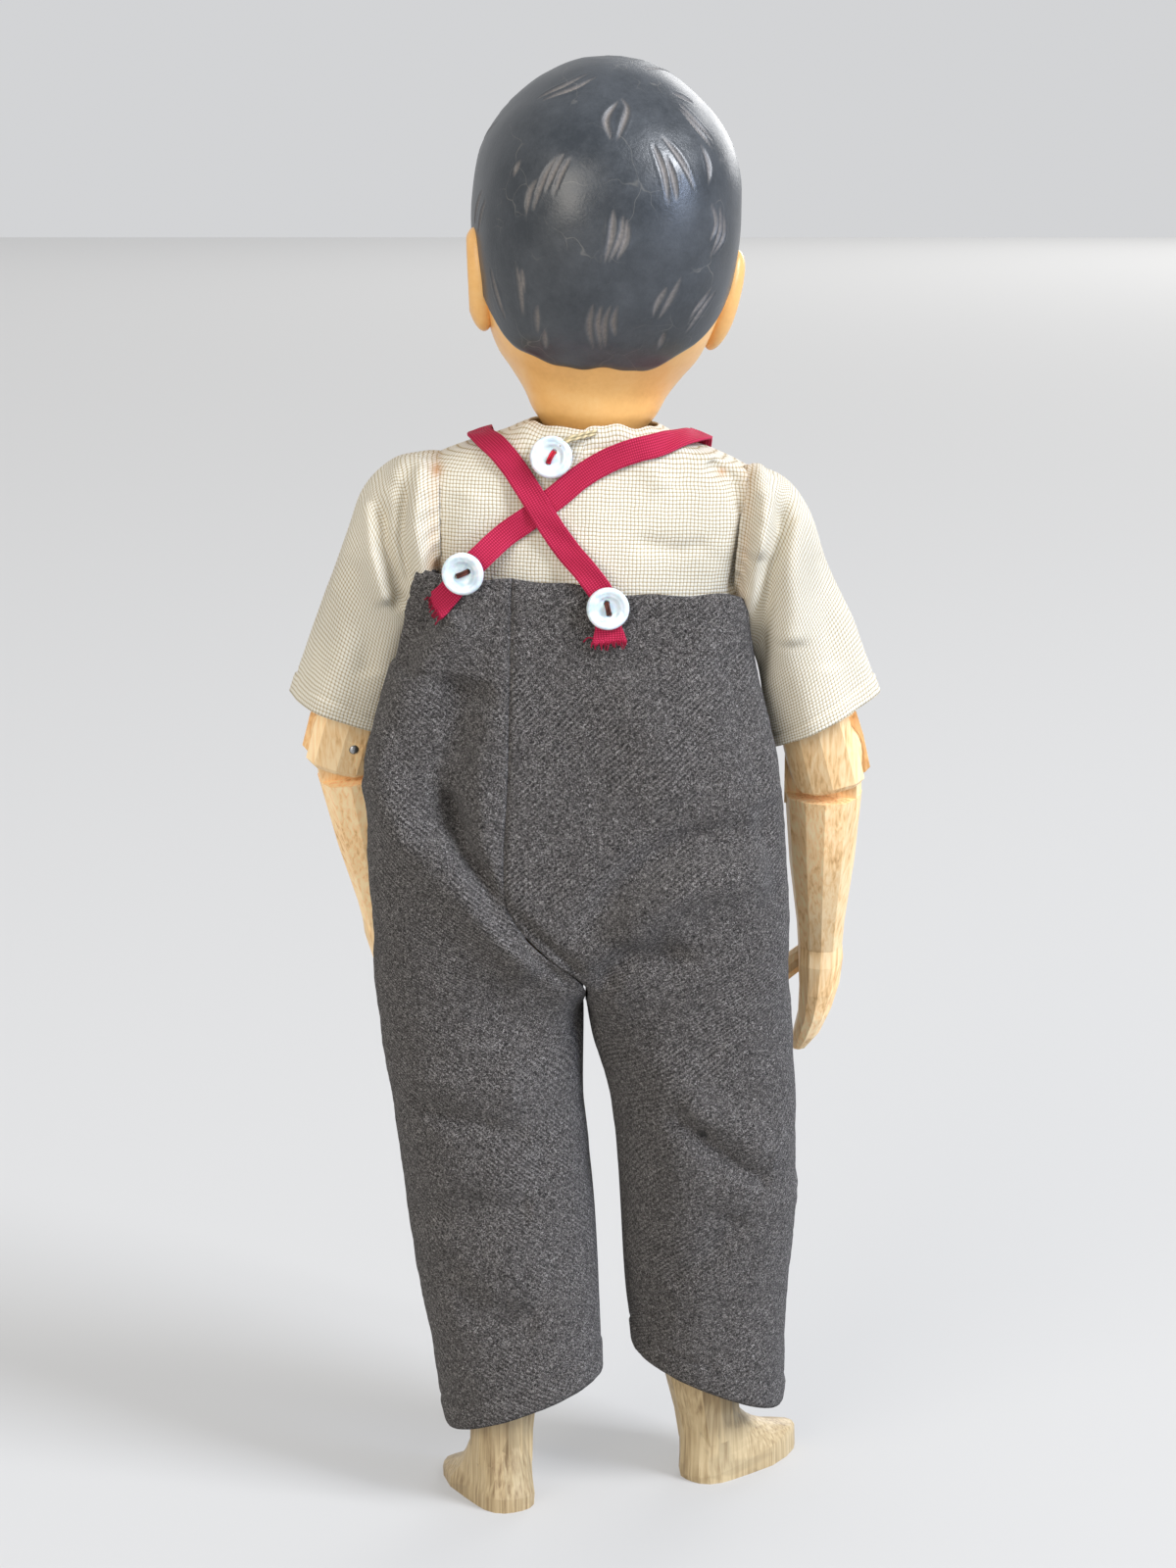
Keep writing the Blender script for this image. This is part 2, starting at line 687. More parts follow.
@dataclass(frozen=True)
class FulledWoolTwill(Finish):
    """Mixed brown and grey wool, woven in twill and fulled: short curled fibres over faint slanting ribs."""

    dark: str = "#1c1a19"
    middle: str = "#464240"
    pale: str = "#ccc8c5"
    rib_mm: float = 1.3
    # A single fibre is too fine to show, so they are drawn as tufts of this width
    fibre_mm: float = 0.55

    def paint(self, tree: Tree, shader: Node) -> None:
        """Adds the mixed fibres and the ribs of the twill.

        Args:
            tree: the material's nodes.
            shader: its Principled shader.
        """
        flat = node(tree, "UVMap", uv_map="weave")
        place = node(tree, "TexCoord").outputs["Object"]
        fibre = node(
            tree, "TexNoise", {"Vector": place, "Scale": per(self.fibre_mm), "Detail": 4.0,
                               "Roughness": 0.62, "Distortion": 1.6}
        )
        split = node(tree, "SeparateXYZ", {0: flat})
        slant = node(tree, "Math", {0: split.outputs[0], 1: 0.8, 2: split.outputs[1]}, operation="MULTIPLY_ADD")
        wave = node(tree, "Math", {0: slant, 1: 2 * math.pi * per(self.rib_mm)}, operation="MULTIPLY")
        rib = node(tree, "Math", {0: wave}, operation="SINE")
        # The nap hides the ribs in places
        nap = node(tree, "TexNoise", {"Vector": place, "Scale": per(20), "Detail": 2.0})
        shows = node(
            tree, "MapRange", {"Value": nap, "From Min": 0.4, "From Max": 0.6, "To Min": 0.012, "To Max": 0.06}
        )
        rib = node(tree, "Math", {0: rib, 1: shows}, operation="MULTIPLY")
        both = node(tree, "Math", {0: fibre, 1: rib}, operation="ADD")
        colour = node(tree, "ValToRGB", {0: both}, stops=((0.36, self.dark), (0.52, self.middle), (0.66, "#86817e")))
        # Single pale hairs curl over the mixed ground
        curl = node(tree, "TexNoise", {"Vector": place, "Scale": per(1.3), "Detail": 2.0, "Distortion": 2.6})
        away = node(tree, "Math", {0: curl, 1: 0.5}, operation="SUBTRACT")
        away = node(tree, "Math", {0: away}, operation="ABSOLUTE")
        hair = node(tree, "MapRange", {"Value": away, "From Max": 0.028, "To Min": 0.85, "To Max": 0.0})
        some = node(tree, "MapRange", {"Value": fibre, "From Min": 0.44, "From Max": 0.56})
        hair = node(tree, "Math", {0: hair, 1: some}, operation="MULTIPLY")
        colour = node(tree, "Mix", {0: hair, 6: colour, 7: srgb(self.pale)}, data_type="RGBA").outputs[2]
        mark = node(tree, "Attribute", attribute_name="moth_hole").outputs["Fac"]
        colour = node(tree, "Mix", {0: mark, 6: colour, 7: srgb("#0c0a09")}, data_type="RGBA").outputs[2]
        relief = node(tree, "Bump", {"Height": both, "Strength": 0.9, "Distance": 0.9 * MM})
        self.set(shader, Base_Color=colour, Normal=relief, Roughness=1.0, IOR=1.5, Specular_IOR_Level=0.1,
                 Sheen_Weight=0.12, Sheen_Roughness=0.6)


@dataclass(frozen=True)
class CrimsonTape(Finish):
    """Narrow cotton tape, dyed crimson and woven in fine ribs that catch pink light."""

    dye: str = "#b01c42"
    shade: str = "#85122f"
    # Finer in the real tape, and drawn this coarse to show
    rib_mm: float = 0.62

    def paint(self, tree: Tree, shader: Node) -> None:
        """Adds ribs along the tape and the picks that cross them.

        Args:
            tree: the material's nodes.
            shader: its Principled shader.
        """
        flat = node(tree, "UVMap", uv_map="weave")
        turns = math.pi * per(self.rib_mm)
        scaled = node(tree, "VectorMath", {0: flat, 1: (turns, turns * 1.2, 1.0)}, operation="MULTIPLY")
        waves = node(tree, "VectorMath", {0: scaled}, operation="SINE")
        split = node(tree, "SeparateXYZ", {0: waves})
        product = node(tree, "Math", {0: split.outputs[0], 1: split.outputs[1]}, operation="MULTIPLY")
        height = node(tree, "Math", {0: product}, operation="ABSOLUTE")
        colour = node(tree, "ValToRGB", {0: height}, stops=((0.05, self.shade), (0.4, self.dye), (0.9, "#c23357")))
        relief = node(tree, "Bump", {"Height": height, "Strength": 0.45, "Distance": 0.2 * MM})
        self.set(shader, Base_Color=colour, Normal=relief, Roughness=0.75, IOR=1.5, Specular_IOR_Level=0.2)


@dataclass(frozen=True)
class MilkyResin(Finish):
    """Turned and polished casein: milky blue white, with light inside it and a wet shine."""

    milk: str = "#dbe8ee"

    def paint(self, tree: Tree, shader: Node) -> None:
        """Adds faint clouds and light under the surface.

        Args:
            tree: the material's nodes.
            shader: its Principled shader.
        """
        place = node(tree, "TexCoord").outputs["Object"]
        cloud = node(tree, "TexNoise", {"Vector": place, "Scale": per(4), "Detail": 3.0, "Distortion": 1.5})
        colour = node(tree, "ValToRGB", {0: cloud}, stops=((0.35, "#c3d6e0"), (0.52, self.milk), (0.7, "#eef5f8")))
        self.set(shader, Base_Color=colour, Roughness=0.22, IOR=1.53, Subsurface_Weight=0.35, Subsurface_Scale=0.0015,
                 Coat_Weight=0.4, Coat_Roughness=0.08)


@dataclass(frozen=True)
class SpunThread(Finish):
    """Sewing thread of twisted plies: a dull slanting stripe along it."""

    dye: str = "#5c3126"
    # Finer in real thread, and drawn this coarse to show
    ply_mm: float = 0.5

    def paint(self, tree: Tree, shader: Node) -> None:
        """Adds the twist of the plies.

        Args:
            tree: the material's nodes.
            shader: its Principled shader.
        """
        place = node(tree, "TexCoord").outputs["Object"]
        ply = node(tree, "TexWave", {"Vector": place, "Scale": per(self.ply_mm) / 6, "Distortion": 2.0},
                   bands_direction="DIAGONAL")
        low = tuple(c * 0.55 for c in srgb(self.dye)[:3]) + (1.0,)
        colour = node(tree, "Mix", {0: ply.outputs[1], 6: low, 7: srgb(self.dye)}, data_type="RGBA").outputs[2]
        relief = node(tree, "Bump", {"Height": ply.outputs[1], "Strength": 0.5, "Distance": 0.2 * MM})
        self.set(shader, Base_Color=colour, Normal=relief, Roughness=0.7, IOR=1.5, Specular_IOR_Level=0.3)


@dataclass(frozen=True)
class CutNailSteel(Finish):
    """Bright drawn steel, filed at the head: a grey metal shine with fine scratches."""

    metal: str = "#b4b6b8"

    def paint(self, tree: Tree, shader: Node) -> None:
        """Adds file marks.

        Args:
            tree: the material's nodes.
            shader: its Principled shader.
        """
        place = node(tree, "TexCoord").outputs["Object"]
        # File marks are too fine to show, so they are drawn as coarse as this
        file_marks = node(tree, "TexNoise", {"Vector": place, "Scale": per(0.3), "Detail": 3.0})
        rough = node(tree, "MapRange", {"Value": file_marks, "To Min": 0.25, "To Max": 0.5})
        tone = node(tree, "ValToRGB", {0: file_marks}, stops=((0.3, "#8d8f91"), (0.6, self.metal)))
        self.set(shader, Roughness=rough, Base_Color=tone, Metallic=1.0)


@dataclass(frozen=True)
class BraidedElastic(Finish):
    """Cotton braid over rubber: pale and dull, with a fine slanting braid."""

    cotton: str = "#e6dcc4"

    def paint(self, tree: Tree, shader: Node) -> None:
        """Adds the braid.

        Args:
            tree: the material's nodes.
            shader: its Principled shader.
        """
        place = node(tree, "TexCoord").outputs["Object"]
        # The braid is drawn a little coarser than it is, to show
        braid = node(tree, "TexVoronoi", {"Vector": place, "Scale": per(0.8)})
        tone = node(tree, "ValToRGB", {0: braid}, stops=((0.2, self.cotton), (0.7, "#a8997a")))
        relief = node(tree, "Bump", {"Height": braid, "Strength": 0.5, "Distance": 0.2 * MM})
        self.set(shader, Base_Color=tone, Normal=relief, Roughness=0.8, IOR=1.5)


def seen_directly(tree: Tree) -> Socket:
    """A socket that is 1 for what the camera sees, also in a gloss or through clear parts, else 0.

    Args:
        tree: the nodes that it is added to.

    Returns:
        The socket.
    """
    path = node(tree, "LightPath").outputs
    either = node(tree, "Math", {0: path["Is Camera Ray"], 1: path["Is Glossy Ray"]}, operation="MAXIMUM")
    return node(tree, "Math", {0: either, 1: path["Is Transmission Ray"]}, operation="MAXIMUM").outputs[0]


@dataclass(frozen=True)
class StudioPaper(Finish):
    """Matt pale paper for the floor."""

    tone: str = "#a4a3a1"
    # What the camera sees of the paper is paler by this much light, which falls on nothing else
    paler: float = 0.3

    def paint(self, tree: Tree, shader: Node) -> None:
        """Sets one plain tone, which shows a little paler to the camera.

        Args:
            tree: the material's nodes.
            shader: its Principled shader.
        """
        paler = node(tree, "Math", {0: seen_directly(tree), 1: self.paler}, operation="MULTIPLY")
        self.set(shader, Base_Color=srgb(self.tone), Emission_Color=srgb("#f1f2f4"), Emission_Strength=paler,
                 Roughness=0.9, Specular_IOR_Level=0.1)


# The head: one carved shape, drawn as a ring at each height
@dataclass
class Head:
    """Carved and painted head with its neck, hair and ears."""

    columns: int = 420
    ball_rows: int = 10
    face_rows: int = 118
    hair_rows: int = 190
    neck_ball: float = 11.0
    height: float = 88.5
    hair_step: float = 0.8
    eye_out: float = 10.0
    eye_height: float = 47.2
    mouth_height: float = 27.3
    gouge_depth: float = 0.42
    gouge_width: float = 0.5
    width: Table = (
        (0, 11), (4, 11.6), (8, 14.4), (12.4, 16.6), (17, 19.8), (21, 22.8), (27, 25.4), (35, 27.8),
        (44, 29.3), (55, 29.7), (64, 28.9), (72, 25.8), (79, 20.3), (84.5, 13.2), (87.5, 6.4), (88.5, 0.4),
    )
    front: Table = (
        (0, 11), (4, 11.4), (8, 13.4), (10.5, 15.2), (12.5, 25.5), (15, 28.8), (20, 30.4), (28, 32),
        (38, 33.2), (48, 33.9), (56, 34.5), (64, 33.4), (72, 29.6), (79, 23.4), (84.5, 15), (87.5, 7.2), (88.5, 0.4),
    )
    back: Table = (
        (0, 11), (4, 11.4), (8, 13.2), (13.4, 15), (19, 19.6), (26, 26.6), (34, 31.7), (44, 35), (54, 36),
        (64, 34.6), (72, 30.4), (79, 23.6), (84.5, 15), (87.5, 7.2), (88.5, 0.4),
    )
    # Across, height, half width, half height and rise of each soft bump of the face
    features: Sequence[tuple[float, ...]] = (
        (0, 43, 2.6, 6.5, 2.6), (0, 37.6, 3.3, 3.1, 4.6), (3.4, 36.4, 1.9, 2, 1.5), (9.5, 54.5, 6.5, 2.8, 1),
        (10, 47.5, 5.6, 4, -2), (10, 46.8, 4, 2.6, 1.1), (14.5, 36, 7, 7, 1.5), (2.4, 29.6, 3.4, 1.3, 1.2),
        (0, 27.4, 6, 0.8, -0.7), (0, 25.4, 4.6, 1.6, 1.4), (0, 21.6, 5, 1.6, -0.7), (0, 17, 5.5, 3.6, 1.7),
    )
    # Cuts in the hair, each as degrees round from the doll's left and heights
    cuts: Sequence[Path] = (
        ((35, 78.2), (48, 81.2), (60, 84)), ((40, 77.7), (56, 80.7), (68, 83.3)),
        ((85, 78.6), (79, 74.6), (82, 70)), ((87, 79.3), (90, 76.8), (85, 70.2)),
        ((117, 85.9), (154, 85.8), (166, 84)), ((124, 78.8), (129, 74.9), (136, 70.9)),
        ((122, 77.7), (127, 73.7), (133, 69.5)), ((124, 80.9), (137, 79.1)),
        ((101, 69.8), (105, 64.2), (107, 57)), ((106, 71.6), (113, 66.9), (119, 60.5)),
        ((106, 67.7), (109, 63), (111, 57.7)), ((60, 66.3), (55, 61.4), (51, 53.9)),
        ((65, 65.8), (62, 62.3), (60, 57.9)), ((62, 66.5), (58, 61.4), (56, 58.1)),
        ((52, 60.9), (49, 57.9), (48, 53.2)), ((6, 72.3), (-10, 67.9), (-9, 62.6)),
        ((-18, 71.1), (-11, 66.7)), ((42, 64.6), (40, 60.9)), ((17, 57.4), (10, 53.2), (7, 49)),
        ((22, 55.5), (17, 51.3), (13, 47.4)), ((84, 55.1), (84, 49.9), (82, 43.7)),
        ((88, 54.2), (88, 50), (84, 44.3)), ((90, 53.4), (90, 49.3), (87, 44.6)),
        ((128, 57.6), (132, 53.4), (129, 49.3)), ((134, 57), (135, 52), (130, 45.7)),
        ((137, 55.3), (138, 50.6), (132, 46.5)), ((126, 70), (128, 66.5), (127, 61.9)),
        ((43, 42.3), (45, 36.9), (45, 30.4)), ((46, 41.1), (47, 35.7)), ((53, 33.2), (52, 26.9)),
        ((56, 27.8), (55, 23.4)), ((26, 40.8), (29, 34.8), (33, 29.2)), ((78, 34.1), (77, 29.2), (80, 24.3)),
        ((82, 34.3), (81, 30.1), (84, 24.3)), ((86, 34.4), (84, 30.1), (86, 24.5)),
        ((89, 34.4), (88, 30.9), (90, 27.4)), ((110, 39), (107, 35.5), (106, 32.3)),
        ((116, 41.1), (113, 36.9), (109, 31.6)),
        ((139, 38.3), (132, 34.3), (126, 28.5)), ((135, 39), (128, 34.3), (126, 31.8)), ((114, 28.5), (114, 24.8)),
    )
    unseen_cuts: int = 22
    # Half thickness, half length and half height of an ear, its place, its height and lean on each side
    ear_size: tuple[float, float, float] = (3.7, 6.6, 12.0)
    ear_place: tuple[float, float] = (28.3, 1.4)
    ear_height: dict[Side, float] = field(default_factory=lambda: {Side.LEFT: 36.9, Side.RIGHT: 34.9})
    ear_lean: dict[Side, float] = field(default_factory=lambda: {Side.LEFT: 9.0, Side.RIGHT: 12.0})

    def hair_line(self, angle: Array) -> Array:
        """Height of the hair's edge: low at the nape, over the ears, across the forehead.

        Args:
            angle: round from the doll's left, in radians.

        Returns:
            The height at each angle.
        """
        back = np.sin(angle)
        behind = mix(30, 19.3, ease(back * 1.08)) + 5 * bump(back - 0.12, 0.22)
        line = np.where(back > 0, behind, mix(35, 63, ease(-back * 1.9 - 0.25)))
        # It is cut higher behind the doll's right ear, and wavers a little where the knife turned
        turn = np.degrees(angle) % 360
        right = ease((turn - 108) / 48) * (1 - ease((turn - 190) / 30))
        return line + 6.5 * right + 0.3 * np.sin(angle * 9) + 0.2 * np.sin(angle * 17 + 1)

    def point(self, angle: Array, z: Array, lift: Array | float) -> Array:
        """Points of the surface, with the face's features on the front.

        Args:
            angle: round from the doll's left, in radians.
            z: height.
            lift: how far out from the skin.

        Returns:
            The points in the head's frame.
        """
        half, front, back = (reading(table, z) + lift for table in (self.width, self.front, self.back))
        power = mix(2, 2.25, ease((z - 15) / 12))
        x, y = oval(angle, half, front, back, power)
        rise = sum(
            up * bump(z - high, tall) * sum(bump(x - a, wide) for a in ({across, -across}))
            for across, high, wide, tall, up in self.features
        )
        y = y - rise * ease(-np.sin(angle) * 1.6 - 0.2) * np.where(np.asarray(lift) > 0, 0.2, 1)
        return np.stack([x, y, z + 0 * x], axis=-1)

    def all_cuts(self) -> list[Path]:
        """The cuts seen from behind, and like groups of them on the front and top.

        Returns:
            Each cut as degrees round and heights.
        """
        chance = np.random.default_rng(5)
        made = list(self.cuts)
        for _ in range(self.unseen_cuts):
            angle, low = chance.uniform(-165, -15), chance.uniform(68, 82)
            for k in range(3):
                start = angle + k * chance.uniform(3, 5)
                made.append(((start, low + chance.uniform(3, 5)), (start + chance.uniform(-3, 3), low)))
        return made

    def build(self, skin: Material, hair: Material) -> list[Piece]:
        """Makes the head and ears.

        Args:
            skin: finish of face, neck and ears.
            hair: finish of the hair.

        Returns:
            The head first, then its ears.
        """
        angle = round_angles(self.columns)
        line = self.hair_line(angle)
        t = np.linspace(-0.985, -0.06, self.ball_rows)[:, None]
        radius = self.neck_ball * np.sqrt(1 - t * t)
        ball = np.stack([radius * np.cos(angle), radius * np.sin(angle), t * self.neck_ball + 0 * angle], axis=-1)
        up = np.linspace(0, 1, self.face_rows)[:, None]
        face = self.point(angle + 0 * up, line * up, 0.0)
        u = np.linspace(0, 1, self.hair_rows)[:, None]
        rise = np.sin(math.pi / 2 * u) * 0.999
        level = mix(line + 0.12, self.height, rise)
        away = (level - line) / self.hair_step
        lift = self.hair_step * (0.35 + 0.65 * np.sqrt(ease(away / 1.4)))
        spots = self.point(angle + 0 * u, level, lift)
        carved, cut = self.carve(spots)
        grid = np.concatenate([ball, face, carved])
        made = woven_grid("head_carved", grid, HEAD, closed=True)
        count = self.columns
        mesh = made.data
        mesh.materials.append(skin)
        mesh.materials.append(hair)
        first = (self.ball_rows + self.face_rows) * count
        mesh.polygons.foreach_set("material_index", [int(p.vertices[2] >= first) for p in mesh.polygons])
        self.close_ends(made, grid.shape[0], count)
        store(made, "gouge", np.concatenate([np.zeros(first), cut.ravel()]))
        x, z = grid[..., 0], grid[..., 2]
        before = (grid[..., 1] < 0) & (np.arange(grid.shape[0])[:, None] < self.ball_rows + self.face_rows)
        beside = np.abs(x) - self.eye_out
        eye = (beside / 4.3) ** 2 + ((z - self.eye_height + 0.035 * beside**2) / 2) ** 2
        store(made, "eye_white", before * ease((1.08 - eye) * 3))
        iris = np.hypot(beside, z - 47)
        brow = along_path(np.abs(x), z, ((4.8, 55.2), (7, 56.4), (10, 56.9), (13, 56.2), (15.6, 54.4)))[0]
        lid = np.abs(np.sqrt(eye) - 1) * 2.6 + 9 * (z < 47.3)
        dark = np.maximum.reduce([ease(2.1 - iris) * (eye < 1.1), ease(1.25 - brow) * 0.7, ease(1.1 - lid)])
        store(made, "dark_line", before * dark)
        mouth = (x / 5.6) ** 2 + ((z - self.mouth_height + 0.02 * x * x) / 2.5) ** 2
        store(made, "lips", before * ease((1.1 - mouth) * 2.5) * 0.85)
        face_outwards(made, HEAD @ Vector((0, 0, 45)) * MM)
        return [made, *[self.ear(side, skin) for side in Side]]

    def carve(self, spots: Array) -> tuple[Array, Array]:
        """Sinks the cuts into the hair and leaves the knife's broad flats between them.

        Args:
            spots: the points of the hair.

        Returns:
            The carved points, and how deep in a cut each lies, from 0 to 1.
        """
        cut, edge = np.zeros(spots.shape[:2]), np.zeros(spots.shape[:2])
        for k, path in enumerate(self.all_cuts()):
            degrees, heights = np.array(path, float).T
            line = bent_line(self.point(np.radians(degrees), heights, self.hair_step), 10)
            nearest, share = np.full(spots.shape[:2], 9.0), np.zeros(spots.shape[:2])
            for i, (a, b) in enumerate(zip(line, line[1:])):
                run = b - a
                t = np.clip(((spots - a) @ run) / (run @ run), 0, 1)
                away = np.linalg.norm(spots - a - t[..., None] * run, axis=-1)
                share = np.where(away < nearest, (i + t) / 10, share)
                nearest = np.minimum(nearest, away)
            # Each cut swells from a point to its middle and thins out again
            swell = 0.25 + 0.85 * np.sin(math.pi * np.clip(share, 0, 1) ** (0.8 + 0.1 * (k % 4))) ** 0.8
            wide = self.gouge_width * swell
            cut = np.maximum(cut, bump(nearest, wide) * swell)
            edge = np.maximum(edge, 0.3 * bump(nearest - 1.9 * wide, wide * 0.7) * swell)
        outward = unit(spots - np.array([0, 0, 42.0]))
        flats = 0.22 * ruffle(spots, 9.0, 3.7)
        height = flats - self.gouge_depth * (cut - edge)
        return spots + outward * height[..., None], np.clip(cut * 1.15, 0, 1)

    def close_ends(self, made: Piece, rows: int, count: int) -> None:
        """Closes the bottom of the ball and the crown.

        Args:
            made: the head.
            rows: rows of its grid.
            count: points in a row.
        """
        with opened(made) as shape:
            shape.faces.new([shape.verts[i] for i in reversed(range(count))])
            crown = shape.faces.new([shape.verts[(rows - 1) * count + i] for i in range(count)])
            crown.material_index = 1

    def ear(self, side: Side, skin: Material) -> Piece:
        """An ear: a leaning oval with a rim round a carved hollow.

        Args:
            side: which ear.
            skin: its finish.

        Returns:
            The ear.
        """
        turn = round_angles(72)
        rise = np.linspace(-math.pi / 2 + 0.03, math.pi / 2 - 0.03, 52)[:, None]
        x = np.cos(rise) * np.cos(turn)
        y = np.cos(rise) * np.sin(turn)
        z = np.sin(rise) + 0 * turn
        inner = np.hypot((y + 0.12) / 0.66, (z - 0.12) / 0.66)
        hollow = (x > 0) * (1 - ease((inner - 0.6) / 0.5))
        canal = (x > 0) * bump(np.hypot(y + 0.25, z + 0.1), 0.2)
        lobe = 1 - 0.14 * (z < 0) * np.abs(z)
        thick, long, tall = self.ear_size
        local = np.stack([thick * x - 1.8 * hollow - 0.8 * canal, long * y * lobe, tall * z], axis=-1)
        tilt = Matrix.Rotation(math.radians(self.ear_lean[side]), 4, "Y") @ Matrix.Rotation(math.radians(-8), 4, "X")
        where = Matrix.Translation((*self.ear_place, self.ear_height[side])) @ tilt
        if side is Side.RIGHT:
            where = Matrix.Scale(-1, 4, (1, 0, 0)) @ where
        made = woven_grid(f"ear_{side.word}", local, HEAD @ where, closed=True)
        made.data.materials.append(skin)
        face_outwards(made, HEAD @ where @ Vector((-1, 0, 0)) * MM)
        return made


@dataclass(frozen=True)
class Fold:
    """A ridge or valley in cloth, as seen from behind: its line across and up, its rise and half width."""

    path: Path
    rise: float
    width: float
    ends: float = 0.12

    def height(self, x: Array, z: Array) -> Array:
        """How far the cloth stands out, dying away towards the fold's ends.

        Args:
            x: across.
            z: up.

        Returns:
            The rise at each place.
        """
        away, share = along_path(x, z, self.path)
        fade = ease(share / self.ends + 0.25) * ease((1 - share) / self.ends + 0.25)
        return self.rise * bump(away, self.width) * fade


# The shirt, of coarse linen: a body with a back opening, and two set-in sleeves
@dataclass
class Shirt:
    """A yoke-less linen shirt with wide sleeves, closed behind the neck by one button and a loop."""

    hem: float = 60.0
    collar: float = 125.0
    slit_bottom: float = 113.7
    slit: Table = ((112.0, 4.2), (125.0, 4.3))
    armhole: float = 35.8
    columns: int = 230
    rows: int = 120
    sleeve_columns: int = 150
    sleeve_rows: int = 116
    thickness: float = 0.6
    power: float = 2.4
    width: Table = (
        (58, 33), (80, 34), (87, 35.6), (91, 38), (95, 41), (103, 47), (109, 46), (114.5, 39.8),
        (119, 30), (122.4, 20.6), (125, 14.9),
    )
    depth: Table = (
        (58, 19.3), (78, 19.4), (90, 19.2), (103, 18.6), (109, 17.6), (114, 16.4), (118.5, 15.5),
        (122, 15.2), (125, 14.2),
    )
    sleeves: dict[Side, Sequence[tuple]] = field(default_factory=lambda: {
        Side.LEFT: (
            ((36.15, 117), (34.6, 88), 15.4), ((45.6, 114.8), (35.4, 81), 16.4), ((53, 106.6), (37, 75.5), 16.2),
            ((57.6, 92.8), (38.8, 69), 15.4), ((63.2, 76), (40.2, 59.6), 14.6), ((69.2, 56.6), (42.2, 48.2), 14),
        ),
        Side.RIGHT: (
            ((36.15, 116.6), (34.6, 86), 15.4), ((44.8, 113.9), (35.6, 80), 16.2), ((51.2, 106.2), (38, 75.5), 16),
            ((56, 93.6), (40.8, 69.5), 15.4), ((62.8, 80.4), (42.6, 60.6), 14.6), ((69.4, 63.2), (44.8, 49.4), 14),
        ),
    })
    swing: dict[Side, float] = field(default_factory=lambda: {Side.LEFT: 11.5, Side.RIGHT: 9.0})
    folds: Sequence[Fold] = (
        Fold(((50.5, 106), (49.6, 94), (46, 82)), 2.0, 2.6),
        Fold(((48.6, 106), (47.2, 97.2), (45, 90.2), (42.4, 80)), -3.8, 1.9),
        Fold(((42.6, 111), (43, 98), (40.4, 86)), -2.6, 1.5),
        Fold(((38.7, 115), (39.6, 102), (37.6, 88)), 2.3, 2.1),
        Fold(((26, 121.8), (35.7, 119.6), (42.5, 115.3), (45.6, 109.5)), 1.2, 2.6),
        Fold(((57, 106), (61.8, 82)), 1.2, 4.6),
        Fold(((54, 92), (53, 78), (50, 64)), -1.2, 3.2),
        Fold(((-23.3, 120.6), (-31.6, 119.6), (-38, 115.6), (-40, 108), (-38.8, 96)), 3.2, 2.6),
        Fold(((-26, 118.4), (-33, 114.4), (-35.8, 106.5), (-35.6, 98), (-34.8, 87)), -2.8, 2.0),
        Fold(((-44, 112), (-44, 104), (-42.2, 96), (-41.2, 86), (-40.2, 76), (-39.8, 66)), -4.0, 2.1),
        Fold(((-47, 106), (-47.4, 92), (-48, 76)), 2.2, 3.2),
        Fold(((-55, 98), (-57, 84), (-58, 70)), -1.0, 3.4),
        Fold(((-27, 99.6), (-20, 98), (-11, 99.8)), -0.8, 2.0),
        Fold(((12, 119), (17, 108), (20, 98)), -0.7, 2.8),
        Fold(((-10, 121), (-17, 112)), 0.8, 2.6),
        Fold(((26, 110), (30, 98), (30, 88)), 1.0, 3.6),
    )
    # Across, up and size of each rust spot
    stains: Sequence[tuple[float, float, float]] = (
        (35.5, 113.7, 1.3), (-29.9, 115.6, 1.0), (15.6, 108.1, 0.8), (34.8, 92, 1.2),
    )

    def surface(self, angle: Array, z: Array) -> Array:
        """Points of the shirt's body before any folds, in the trunk's frame.

        Args:
            angle: round from the doll's left, in radians.
            z: height.

        Returns:
            The points.
        """
        half, deep = reading(self.width, z), reading(self.depth, z)
        x, y = oval(angle, half, deep, deep, self.power)
        return np.stack([x, y, z + 0 * x], axis=-1)

    def level(self, p: Sequence[float]) -> float:
        """How far out a point is from the shirt's axis: 1 on the cloth, less inside it."""
        wide, deep = float(reading(self.width, p[2])), float(reading(self.depth, p[2]))
        return abs(p[0] / wide) ** self.power + abs(p[1] / deep) ** self.power

    def spot(self, face: str, x: float, other: float) -> tuple[Vector, Vector]:
        """A place on the cloth and the way out from it.

        Args:
            face: back, front or top.
            x: across.
            other: up, or along on top of the shoulder.

        Returns:
            The point and the outward normal, in the trunk's frame.
        """
        def at(free: float) -> tuple[float, float, float]:
            """The point with its free coordinate filled in."""
            return (x, other, free) if face == "top" else (x, -free if face == "front" else free, other)

        near, far = (SHOULDER_HEIGHT, self.collar) if face == "top" else (0.0, 40.0)
        for _ in range(40):
            middle = (near + far) / 2
            near, far = (near, middle) if self.level(at(middle)) > 1 else (middle, far)
        p = at(near)
        slope = []
        for axis in range(3):
            high, low = list(p), list(p)
            high[axis] += 0.2
            low[axis] -= 0.2
            slope.append(self.level(high) - self.level(low))
        return Vector(p), Vector(slope).normalized()

